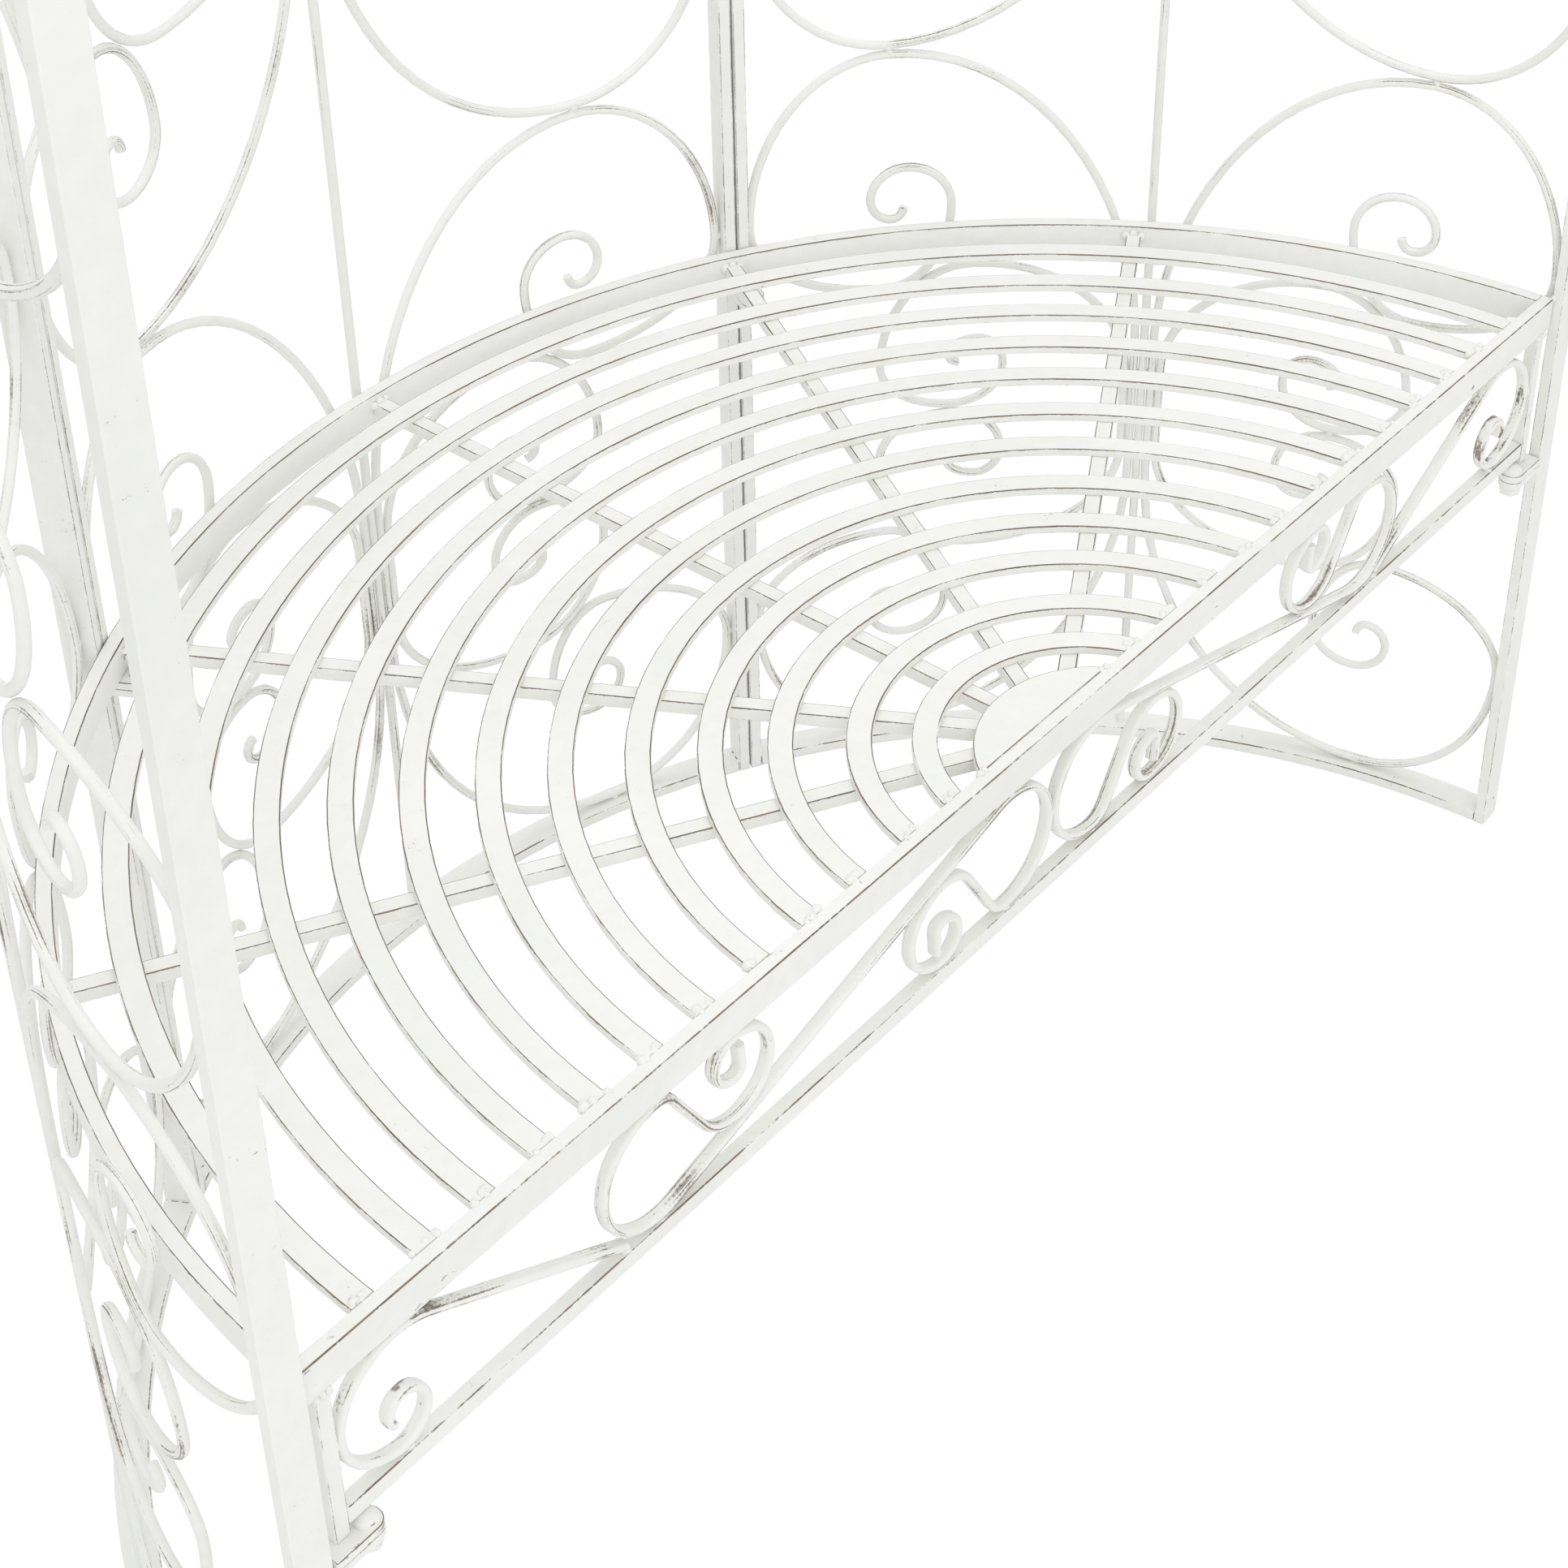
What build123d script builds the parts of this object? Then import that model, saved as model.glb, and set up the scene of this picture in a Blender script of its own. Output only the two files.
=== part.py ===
from build123d import *
import math
import os

# Half-round garden gazebo of painted iron with a built-in half-round bench, in millimetres.
# The floor is z = 0 and the open front faces -Y. The wall and the rim are arcs about one plan centre,
# which lies just in front of the bench, and the slats about a point a little behind it. Polar angles
# start at +X, so the right front post is near 0 degrees, the middle of the back is at 90 and the left
# front post near 180.

# Bar and rod stock
bar_width = 20.0
bar_thickness = 8.0
rod_diameter = 6.0
weld_gap = 0.7

# Wall plan and heights
wall_radius = 550.0
panel_pitch = 58.4
seam_gap = 1.5
tier_height = 563.0
tier_count = 2
eaves_height = 1750.0

# Large wall scroll: distances from its eye to the top and side of the outer loop, to the bottom and
# side of the curl before the curl is fitted, and the two half axes of each later quarter turn
large_loop_top = 114.5
large_loop_side = 95.0
large_curl_drop = 61.5
large_curl_side = 43.0
large_inner_turns = ((31.0, 30.0), (22.5, 24.0), (14.5, 16.0), (8.5, 8.0))
large_straight = 50.0
large_run_count = (5, 4, 4, 3, 2, 2, 1, 1)

# Small wall scroll, inside the large one: distances from its eye to the top and side of its loop, and
# the two half axes of each later quarter turn
small_reach = 107.0
small_loop_top = 77.0
small_loop_side = 63.5
small_inner_turns = ((50.0, 36.0), (32.0, 36.0), (18.0, 21.0), (12.0, 20.0), (7.0, 7.0))
small_straight = 33.0
small_run_count = (4, 4, 3, 3, 2, 1, 1)

# Bench seat
seat_height = 446.0
rim_height = 20.0
rim_thickness = 9.0
rail_setback = 38.0
slat_centre = 10.0
slat_inner_radii = (496.2, 457.4, 421.1, 383.8, 347.3, 308.1, 270.8, 230.5, 192.5, 155.7, 114.2, 79.4)
slat_width = 14.0
slat_thickness = 5.0
spoke_angles = (30.0, 60.0, 90.0, 120.0, 150.0)
spoke_width = 10.0
spoke_height = 8.0
spoke_start = 26.0
hub_radius = 69.0

# Apron under the front of the seat
rail_height = 22.5
low_rail_height = 11.0
rail_thickness = 8.0
apron_opening = 82.0
upright_width = 9.0
upright_gap = 7.0
apron_bar = 5.0
apron_depth = 8.0
end_scroll_tail = 145.5
end_scroll_radii = (17.5, 9.5)
end_curl_angles = (258.0, 420.0, 580.0)
tail_past_loop = 25.0
curl_gap = 0.5
double_shoulder = 15.0
double_curl_reach = 57.0
double_radii = (14.0, 5.5)
double_tip_turn = 95.0
double_tip = 14.0
meeting_offset = 2.0
apron_bend_step = 15.0

# Fixing lugs and their bolts
fastener_sides = 12
lug_thickness = 5.0
lug_width = 16.0
lug_reach = 33.0
lug_corner = 6.0
lug_drop = 6.0
front_lug_projection = 8.0
lug_bolt_diameter = 8.0
lug_bolt_edge = 8.0
bolt_clearance = 0.2
head_taper = 25.0
lug_head_diameter = 13.0
lug_head_height = 5.0
lug_nut_width = 13.0
lug_nut_height = 6.0

# Bolts through the double posts
seam_bolt_diameter = 6.0
seam_bolt_slack = 0.2
seam_bolt_drop = 60.0
seam_bolt_rise = 80.0
seam_head_diameter = 10.0
seam_head_height = 4.0
seam_nut_width = 10.0
seam_nut_height = 5.0

# Roof
collar_radius = 18.0
collar_height = 24.0
finial_base_radius = 22.0
finial_base_height = 5.0
finial_stem_radius = 6.0
finial_stem_height = 22.0
finial_ball_radius = 20.0
finial_band_height = 14.0
finial_spike_height = 66.0

# Places that follow from the sizes above
rod_radius = rod_diameter / 2
rod_side = rod_radius * math.sqrt(math.pi)
large_back = rod_radius + weld_gap + rod_side / 2
small_back = large_back + rod_side + weld_gap
rod_clear = rod_side / 2 + weld_gap
bar_middle = wall_radius + bar_width / 2
stile_offset = math.degrees((bar_thickness + seam_gap) / 2 / bar_middle)
stile_angle = panel_pitch / 2 - stile_offset
front_angle = 90.0 - panel_pitch - stile_angle
panel_centres = {"right": 90.0 - panel_pitch, "back": 90.0, "left": 90.0 + panel_pitch}
seam_angles = (90.0 - panel_pitch / 2, 90.0 + panel_pitch / 2)
seam_grip = 2 * bar_thickness + seam_gap + seam_bolt_slack
waist_height = bar_thickness + tier_count * tier_height
rim_outer = wall_radius - weld_gap
rim_inner = rim_outer - rim_thickness
rail_front = rail_setback - rail_thickness
rail_middle = rail_setback - rail_thickness / 2
post_face = wall_radius * math.cos(math.radians(front_angle))
post_face -= bar_thickness / 2 * math.sin(math.radians(front_angle))
rail_half = post_face - weld_gap
upright_inner = rail_half - upright_gap - upright_width
apron_top = seat_height - rail_height
apron_bottom = apron_top - apron_opening
apron_middle = (apron_top + apron_bottom) / 2
low_rail_bottom = apron_bottom - low_rail_height
upright_foot = low_rail_bottom - lug_drop
loop_radius = (apron_opening - apron_bar) / 2 - weld_gap
end_loop_x = apron_bar / 2 + weld_gap + loop_radius - upright_inner
arch_y = bar_middle * math.sin(math.radians(front_angle))
arch_outer = (wall_radius + bar_width) * math.cos(math.radians(front_angle))
crown_height = eaves_height + arch_outer
collar_y = arch_y + bar_thickness / 2 + collar_radius
front_edge = rail_front - front_lug_projection
depth_middle = (front_edge + wall_radius + bar_width) / 2


def save(name, *solids):
    """Write one node, with the object's box centred over the origin."""
    node = Compound(children=[Pos(0, -depth_middle, 0) * solid for solid in solids])
    export_step(node, os.path.join("parts", name + ".step"))


def polar(radius, angle):
    """Plan point at a radius and polar angle from the plan centre."""
    return (radius * math.cos(math.radians(angle)), radius * math.sin(math.radians(angle)))


def arc_band(inner, outer, start, end):
    """Flat band between two radii, from one polar angle to another."""
    outside = CenterArc((0, 0), outer, start, end - start)
    inside = CenterArc((0, 0), inner, start, end - start)
    return make_face([outside, inside, Line(inside @ 0, outside @ 0), Line(inside @ 1, outside @ 1)])


def behind_rail(inner, outer, centre):
    """Flat band between two radii about a point behind the plan centre, ending square on the front rail."""
    room = rail_setback - centre
    outer_start = math.degrees(math.asin(room / outer))
    inner_start = math.degrees(math.asin(room / inner))
    outside = CenterArc((0, 0), outer, outer_start, 180 - 2 * outer_start)
    inside = CenterArc((0, 0), inner, inner_start, 180 - 2 * inner_start)
    band = make_face([outside, inside, Line(inside @ 0, outside @ 0), Line(inside @ 1, outside @ 1)])
    return Pos(0, centre) * band


def seam_bolt_heights():
    """Heights of the bolts through a double post: above the waist rail and below the eaves."""
    return (waist_height + seam_bolt_rise, eaves_height - seam_bolt_drop)


def round_stock(diameter):
    """Outline of a small round bar or bolt, drawn with a few flat sides."""
    return RegularPolygon(diameter / 2, fastener_sides)


def round_hole(diameter):
    """Outline of a drilled hole for a bolt of a diameter."""
    return RegularPolygon(diameter / 2 + bolt_clearance, fastener_sides)


def stile(angle, bolted):
    """Upright flat bar on edge at a polar angle, drilled if it is half of a double post."""
    bar = Pos(bar_middle, 0, eaves_height / 2) * Box(bar_width, bar_thickness, eaves_height)
    if bolted:
        for height in seam_bolt_heights():
            drill = extrude(round_hole(seam_bolt_diameter), bar_thickness, both=True)
            bar -= Pos(bar_middle, 0, height) * Rot(90, 0, 0) * drill
    return Rot(0, 0, angle) * bar


def wall_rail(centre, bottom):
    """Flat bar bent to the wall's curve, from stile to stile of one panel."""
    half = stile_angle - math.degrees((bar_thickness / 2 + weld_gap) / wall_radius)
    band = arc_band(wall_radius, wall_radius + bar_width, centre - half, centre + half)
    return Pos(0, 0, bottom) * extrude(band, bar_thickness)


def centre_rod(centre):
    """Thin upright rod in the middle of a panel, from the bottom rail to the waist rail."""
    length = waist_height - bar_thickness
    rod = Pos(0, 0, bar_thickness + length / 2) * Cylinder(rod_radius, length)
    return Pos(*polar(bar_middle, centre)) * rod


def scroll_half(back, straight, eye, turns, runs):
    """Points of the upper half of a C-scroll, from the middle of its back to its tip.

    The first number of a point is the distance along the wall from the centre rod, the second
    the height above the middle of the scroll. Each quarter turn is a quarter of an ellipse that
    starts where the last one ends, and the scroll leaves its straight back at the height given.
    """
    headings = [(0, 1), (1, 0), (0, -1), (-1, 0)]
    points = [(back, 0)]
    rise = eye[1] + turns[0][0] - straight
    for step in range(runs[0]):
        angle = math.pi / 2 * step / runs[0]
        points.append((eye[0] - (eye[0] - back) * math.cos(angle), straight + rise * math.sin(angle)))
    tip = Vector(*eye) + Vector(*headings[0]) * turns[0][0]
    for quarter, (fade, grow) in enumerate(turns):
        leaving = Vector(*headings[quarter % 4]) * fade
        coming = Vector(*headings[(quarter + 1) % 4]) * grow
        middle = tip - leaving
        for step in range(runs[quarter + 1]):
            angle = math.pi / 2 * step / runs[quarter + 1]
            place = middle + leaving * math.cos(angle) + coming * math.sin(angle)
            points.append((place.X, place.Y))
        tip = middle + coming
    points.append((tip.X, tip.Y))
    return points


def wall_scroll(half):
    """C-scroll of rod on the back panel, right of the centre rod, in the lowest tier.

    The round rod is drawn as a square one of the same area, bent in short straight runs.
    """
    middle = bar_thickness + tier_height / 2
    path_points = []
    for along, up in half:
        angle = 90 - math.degrees(along / bar_middle)
        path_points.append((*polar(bar_middle, angle), middle + up))
    path = Polyline(*path_points)
    outward = (path_points[0][0], path_points[0][1], 0)
    rod_section = Plane(path_points[0], x_dir=outward, z_dir=path % 0) * Rectangle(rod_side, rod_side)
    upper = sweep(rod_section, path=path, transition=Transition.RIGHT)
    return upper + upper.mirror(Plane.XY.offset(middle))


def large_eye():
    """Eye of the large scroll, whose outer loop touches the stile and the tier's end."""
    room = math.radians(stile_angle) * bar_middle - bar_thickness / 2
    return (room - rod_clear - large_loop_side, tier_height / 2 - rod_clear - large_loop_top)


def small_eye():
    """Eye of the small scroll, which touches the large scroll's back and its own other half."""
    return (small_back + small_reach, small_inner_turns[0][1] + rod_clear)


def curl_fit():
    """How much the large scroll's curl grows from its own sizes to touch the small scroll."""
    across = large_eye()[0] - small_eye()[0]
    up = large_eye()[1] - small_eye()[1]
    apart = math.hypot(across, up)
    small_radius = apart / math.hypot(across / small_loop_side, up / small_loop_top)
    curl_radius = apart / math.hypot(across / large_curl_side, up / large_curl_drop)
    return (apart - small_radius - rod_side - 2 * weld_gap) / curl_radius


def large_scroll():
    """Large C-scroll: back against the centre rod, touching the stile and both ends of its tier."""
    drop = curl_fit() * large_curl_drop
    side = curl_fit() * large_curl_side
    loop_turns = ((large_loop_top, large_loop_side), (large_loop_side, drop), (drop, side))
    turns = (*loop_turns, *large_inner_turns)
    return wall_scroll(scroll_half(large_back, large_straight, large_eye(), turns, large_run_count))


def small_scroll():
    """Small C-scroll inside the large one, its back against the large scroll's back."""
    turns = ((small_loop_top, small_loop_side), *small_inner_turns)
    return wall_scroll(scroll_half(small_back, small_straight, small_eye(), turns, small_run_count))


def panel_scrolls(scroll, centre):
    """All scrolls of one kind in a panel: mirrored about the centre rod, in every tier."""
    pair = [scroll, scroll.mirror(Plane.YZ)]
    turn = Rot(0, 0, centre - 90)
    return [Pos(0, 0, tier * tier_height) * turn * rod for tier in range(tier_count) for rod in pair]


def seat_slat(inner):
    """Curved flat slat with its ends on the front rail."""
    band = behind_rail(inner, inner + slat_width, slat_centre)
    return Pos(0, 0, seat_height - slat_thickness) * extrude(band, slat_thickness)


def seat_rim():
    """Half-round band on edge that carries the ends of the spokes."""
    return Pos(0, 0, seat_height - rim_height) * extrude(behind_rail(rim_inner, rim_outer, 0), rim_height)


def hub_plate():
    """Half-disc plate over the inner ends of the spokes."""
    start = math.degrees(math.asin(rail_setback / hub_radius))
    edge = CenterArc((0, 0), hub_radius, start, 180 - 2 * start)
    plate = make_face([edge, Line(edge @ 1, edge @ 0)])
    return Pos(0, 0, seat_height - slat_thickness) * extrude(plate, slat_thickness)


def seat_spoke(angle):
    """Bar under the slats from the hub plate to the rim, in line with the middle of the rail's front."""
    along = rail_front * math.sin(math.radians(angle))
    aside = rail_front * abs(math.cos(math.radians(angle))) + spoke_width / 2
    reach = math.sqrt(rim_inner**2 - aside**2) - along
    bar = Box(reach - spoke_start, spoke_width, spoke_height)
    bar = Pos((spoke_start + reach) / 2, 0, spoke_height / 2) * bar
    return Pos(0, rail_front, seat_height - slat_thickness - spoke_height) * Rot(0, 0, angle) * bar


def apron_rail(half_length, bottom, height):
    """Flat bar on edge across the front."""
    return Pos(0, rail_middle, bottom + height / 2) * Box(2 * half_length, rail_thickness, height)


def apron_upright(side):
    """Short upright at one end of the apron, down to the lug; side is -1 on the left and 1 on the right."""
    place = Pos(side * (upright_inner + upright_width / 2), rail_middle, (apron_top + upright_foot) / 2)
    return place * Box(upright_width, rail_thickness, apron_top - upright_foot)


def bend(centre, radius, start, turn):
    """Points of a bend about a centre in the apron's plane, in short straight runs."""
    count = math.ceil(abs(turn) / apron_bend_step)
    angles = [math.radians(start + turn * step / count) for step in range(count + 1)]
    return [(centre[0] + radius * math.cos(a), centre[1] + radius * math.sin(a)) for a in angles]


def bent_bar(points):
    """Flat bar bent along points in the apron's plane, its front flush with the rails."""
    path = Polyline(*points)
    across = Vector(0, 0, 1).cross(path % 0)
    bar_section = Plane(path @ 0, x_dir=across, z_dir=path % 0) * Rectangle(apron_bar, apron_depth)
    bar = sweep(bar_section, path=path, transition=Transition.RIGHT)
    return Plane((0, rail_front + apron_depth / 2, 0), x_dir=(1, 0, 0), z_dir=(0, -1, 0)) * bar


def beside(point, distance, angle):
    """Point at a distance and an angle from another in the apron's plane."""
    turn = math.radians(angle)
    return (point[0] + distance * math.cos(turn), point[1] + distance * math.sin(turn))


def end_scroll():
    """Left end scroll: a tail up from the lower rail, a loop against the upright, two inner turns."""
    turn, tip = end_scroll_radii
    start, tighten, finish = end_curl_angles
    tail = (end_loop_x + end_scroll_tail, apron_middle - loop_radius)
    reach = math.hypot(end_scroll_tail, loop_radius)
    touch = math.degrees(math.acos(loop_radius / reach) - math.atan2(loop_radius, end_scroll_tail))
    loop = bend((end_loop_x, apron_middle), loop_radius, touch, start - touch)
    turn_centre = beside((end_loop_x, apron_middle), loop_radius - turn, start)
    inner = bend(turn_centre, turn, start, tighten - start)
    tip_centre = beside(turn_centre, turn - tip, tighten)
    end = bend(tip_centre, tip, tighten, finish - tighten)
    return bent_bar([tail, *loop, *inner[1:], *end[1:]])


def double_scroll():
    """Left double scroll: two loops joined by a slanting bar, each with a curl, alike when half turned.

    A short shoulder and a straight run lead from the loop to the curl. The curl touches the lower
    rail and leaves a gap under the slanting bar.
    """
    turn, tip = double_radii
    centre_x = meeting_offset - weld_gap / 2 - apron_bar / 2 - loop_radius
    half_span = (centre_x - end_loop_x - end_scroll_tail - tail_past_loop) / 2
    middle_x = centre_x - half_span
    low = apron_middle - loop_radius
    slope = math.asin(loop_radius / half_span)
    under_bar = loop_radius + (half_span - double_curl_reach) * math.tan(slope)
    curl = (under_bar * math.cos(slope) - apron_bar - curl_gap) / (1 + math.cos(slope))
    curl_x = centre_x - double_curl_reach
    rise = curl - double_shoulder
    crossing = math.asin((curl + double_shoulder) / math.hypot(double_curl_reach, rise))
    lean = math.degrees(math.atan2(rise, -double_curl_reach) - crossing) - 90
    touch = 90 + math.degrees(slope)
    loop = bend((centre_x, apron_middle), loop_radius, touch, -90 - touch)
    shoulder = bend((centre_x, low + double_shoulder), double_shoulder, -90, lean - 90)
    outer = bend((curl_x, low + curl), curl, lean, 270 - lean)
    inner = bend((curl_x, low + turn), turn, -90, 180)
    end = bend((curl_x, low + 2 * turn - tip), tip, 90, double_tip_turn)
    point = beside(end[-1], double_tip, 180 + double_tip_turn)
    line = [(middle_x, apron_middle), *loop, *shoulder[1:], *outer, *inner[1:], *end[1:], point]
    half = bent_bar(line)
    about_middle = Pos(middle_x, 0, apron_middle) * Rot(0, 180, 0) * Pos(-middle_x, 0, -apron_middle)
    return half + about_middle * half


def lug(top):
    """Lug plate along +X from its root at the origin, with cut corners and a bolt hole."""
    outline = Pos(lug_reach / 2, 0) * Rectangle(lug_reach, lug_width)
    outline = chamfer(outline.vertices().group_by(Axis.X)[-1], lug_corner)
    outline -= Pos(lug_reach - lug_bolt_edge, 0) * round_hole(lug_bolt_diameter)
    return Pos(0, 0, top - lug_thickness) * extrude(outline, lug_thickness)


def lug_places():
    """Where each lug starts, and the underside of the bench piece it is welded to."""
    middle_y = front_edge + lug_width / 2
    under_rim = seat_height - rim_height
    places = [
        (Pos(-rail_half, middle_y) * Rot(0, 0, 0), upright_foot),
        (Pos(rail_half, middle_y) * Rot(0, 0, 180), upright_foot),
    ]
    for angle in seam_angles:
        places.append((Pos(*polar(rim_outer, angle)) * Rot(0, 0, angle + 180), under_rim))
    return places


def lug_bolt(top):
    """Round-headed bolt through a bench lug and the post lug below it."""
    shank_length = 2 * lug_thickness + lug_nut_height
    shank = Pos(0, 0, top - shank_length) * extrude(round_stock(lug_bolt_diameter), shank_length)
    head = Pos(0, 0, top) * extrude(round_stock(lug_head_diameter), lug_head_height, taper=head_taper)
    return Pos(lug_reach - lug_bolt_edge, 0) * (shank + head)


def lug_nut(top):
    """Hexagon nut under the post lug."""
    ring = RegularPolygon(lug_nut_width / 2, 6, major_radius=False) - round_hole(lug_bolt_diameter)
    bottom = top - 2 * lug_thickness - lug_nut_height
    return Pos(lug_reach - lug_bolt_edge, 0, bottom) * extrude(ring, lug_nut_height)


def seam_bolt(angle, height):
    """Bolt across a double post, its head on the side of smaller angle."""
    shank = Pos(0, 0, -seam_grip / 2) * extrude(round_stock(seam_bolt_diameter), seam_grip + seam_nut_height)
    head = extrude(round_stock(seam_head_diameter), -seam_head_height, taper=head_taper)
    head = Pos(0, 0, -seam_grip / 2) * head
    return Rot(0, 0, angle) * Pos(bar_middle, 0, height) * Rot(-90, 0, 0) * (shank + head)


def seam_nut(angle, height):
    """Hexagon nut on the far side of a double post."""
    ring = RegularPolygon(seam_nut_width / 2, 6, major_radius=False) - round_hole(seam_bolt_diameter)
    nut = Pos(0, 0, seam_grip / 2) * extrude(ring, seam_nut_height)
    return Rot(0, 0, angle) * Pos(bar_middle, 0, height) * Rot(-90, 0, 0) * nut


def front_arch():
    """Half-round flat bar on edge over the open front, standing on the front posts."""
    inner = arch_outer - bar_width * math.cos(math.radians(front_angle))
    band = extrude(arc_band(inner, arch_outer, 0, 180), bar_thickness / 2, both=True)
    return Pos(0, arch_y, eaves_height) * Rot(90, 0, 0) * band


def roof_rib(angle):
    """Flat bar on edge from the eaves, straight up and then a quarter circle to the collar."""
    base = Vector(*polar(bar_middle, angle)) - Vector(0, collar_y)
    lean = math.degrees(math.atan2(base.Y, base.X))
    start = collar_radius + weld_gap
    bend = base.length - start
    end_height = crown_height - collar_height / 2
    half = bar_width / 2
    outside = CenterArc((start, end_height - bend), bend + half, 0, 90)
    inside = CenterArc((start, end_height - bend), bend - half, 0, 90)
    outer_leg = Line((start + bend + half, eaves_height), outside @ 0)
    inner_leg = Line((start + bend - half, eaves_height), inside @ 0)
    closing = [Line(inside @ 1, outside @ 1), Line(inner_leg @ 0, outer_leg @ 0)]
    profile = make_face([outside, inside, outer_leg, inner_leg, *closing])
    bar = Rot(90, 0, 0) * extrude(profile, bar_thickness / 2, both=True)
    return Pos(0, collar_y) * Rot(0, 0, lean) * bar


def roof_collar():
    """Short round boss behind the crown of the arch, where the ribs meet."""
    return Pos(0, collar_y, crown_height - collar_height / 2) * Cylinder(collar_radius, collar_height)


def finial():
    """Turned finial on the collar: base disc, stem, banded ball and spike."""
    stem_top = finial_base_height + finial_stem_height
    band_low = stem_top + finial_ball_radius - finial_band_height / 2
    band_high = band_low + finial_band_height
    ball_top = stem_top + 2 * finial_ball_radius
    outline = Polyline(
        (0, 0),
        (finial_base_radius, 0),
        (finial_base_radius, finial_base_height),
        (finial_stem_radius, finial_base_height),
        (finial_stem_radius, stem_top),
        (finial_ball_radius, band_low),
        (finial_ball_radius, band_high),
        (finial_stem_radius, ball_top),
        (0, ball_top + finial_spike_height),
        (0, 0),
    )
    turned = revolve(Plane.XZ * make_face(outline), Axis.Z)
    return Pos(0, collar_y, crown_height) * turned


def main():
    os.makedirs("parts", exist_ok=True)

    save("right_front_post", stile(front_angle, False))
    save("left_front_post", stile(180 - front_angle, False))
    save("right_rear_stile", stile(panel_centres["right"] + stile_angle, True))
    save("left_rear_stile", stile(panel_centres["left"] - stile_angle, True))
    save("back_right_stile", stile(panel_centres["back"] - stile_angle, True))
    save("back_left_stile", stile(panel_centres["back"] + stile_angle, True))

    large = large_scroll()
    small = small_scroll()
    for panel, centre in panel_centres.items():
        save(panel + "_bottom_rail", wall_rail(centre, 0))
        save(panel + "_waist_rail", wall_rail(centre, waist_height))
        save(panel + "_eaves_rail", wall_rail(centre, eaves_height - bar_thickness))
        save(panel + "_centre_rod", centre_rod(centre))
        save(panel + "_large_scrolls", *panel_scrolls(large, centre))
        save(panel + "_small_scrolls", *panel_scrolls(small, centre))

    save("seat_rim", seat_rim())
    for number, inner in enumerate(slat_inner_radii, start=1):
        save(f"seat_slat_{number:02d}", seat_slat(inner))
    save("seat_spokes", *[seat_spoke(angle) for angle in spoke_angles])
    save("seat_hub_plate", hub_plate())

    save("apron_top_rail", apron_rail(rail_half, apron_top, rail_height))
    save("apron_bottom_rail", apron_rail(upright_inner, low_rail_bottom, low_rail_height))
    save("apron_uprights", apron_upright(-1), apron_upright(1))
    left_end = end_scroll()
    left_double = double_scroll()
    meeting = Plane.YZ.offset(meeting_offset)
    save("left_end_scroll", left_end)
    save("right_end_scroll", left_end.mirror(Plane.YZ))
    save("left_double_scroll", left_double)
    save("right_double_scroll", left_double.mirror(meeting))

    places = lug_places()
    save("bench_lugs", *[place * lug(top) for place, top in places])
    save("post_lugs", *[place * lug(top - lug_thickness) for place, top in places])
    save("lug_bolts", *[place * lug_bolt(top) for place, top in places])
    save("lug_nuts", *[place * lug_nut(top) for place, top in places])
    seams = [(angle, height) for angle in seam_angles for height in seam_bolt_heights()]
    save("seam_bolts", *[seam_bolt(angle, height) for angle, height in seams])
    save("seam_nuts", *[seam_nut(angle, height) for angle, height in seams])

    save("front_arch", front_arch())
    save("left_post_rib", roof_rib(seam_angles[1]))
    save("right_post_rib", roof_rib(seam_angles[0]))
    for panel, centre in panel_centres.items():
        save(panel + "_middle_rib", roof_rib(centre))
    save("roof_collar", roof_collar())
    save("finial", finial())


if __name__ == "__main__":
    main()
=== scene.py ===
"""Half-round garden gazebo with a slatted bench, in worn white paint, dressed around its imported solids."""

import logging
import math
import random
from contextlib import contextmanager
from dataclasses import dataclass
from enum import Enum
from typing import Any, Callable, Iterator, Optional, Sequence, Union

import bpy
from mathutils import Matrix, Vector


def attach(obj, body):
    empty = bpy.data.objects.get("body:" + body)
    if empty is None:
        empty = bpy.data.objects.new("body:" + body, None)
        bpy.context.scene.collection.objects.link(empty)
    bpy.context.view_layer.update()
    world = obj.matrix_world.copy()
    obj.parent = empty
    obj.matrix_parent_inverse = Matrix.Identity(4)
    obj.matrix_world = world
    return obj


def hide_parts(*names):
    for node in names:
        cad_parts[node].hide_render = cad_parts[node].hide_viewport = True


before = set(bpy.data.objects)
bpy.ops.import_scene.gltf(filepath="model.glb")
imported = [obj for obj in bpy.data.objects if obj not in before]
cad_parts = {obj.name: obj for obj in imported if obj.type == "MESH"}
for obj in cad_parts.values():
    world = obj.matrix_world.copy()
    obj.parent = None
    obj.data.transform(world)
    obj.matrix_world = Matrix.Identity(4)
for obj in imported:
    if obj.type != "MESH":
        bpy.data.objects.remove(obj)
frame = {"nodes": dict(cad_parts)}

log = logging.getLogger("gazebo")
logging.basicConfig(level=logging.INFO, format="%(name)s: %(message)s")

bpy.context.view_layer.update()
BODY = "root"
MERGE = 1e-6
UP = Vector((0.0, 0.0, 1.0))

Point2 = tuple[float, float]
Point3 = tuple[float, float, float]
Spot = tuple[Vector, float]
Colour = tuple[float, float, float]
Sockets = dict[Union[int, str], Any]


class Slot(Enum):
    """Material slots of the record."""

    FRAME = "frame_paint"
    SCROLL = "scroll_paint"
    SEAT = "seat_paint"
    APRON = "apron_paint"
    ROOF = "roof_paint"
    FASTENER = "fastener_paint"


class Stock(Enum):
    """How a bar is made, which decides where its paint wears."""

    SQUARE = "square edges"
    ROUND = "round rod"


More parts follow.
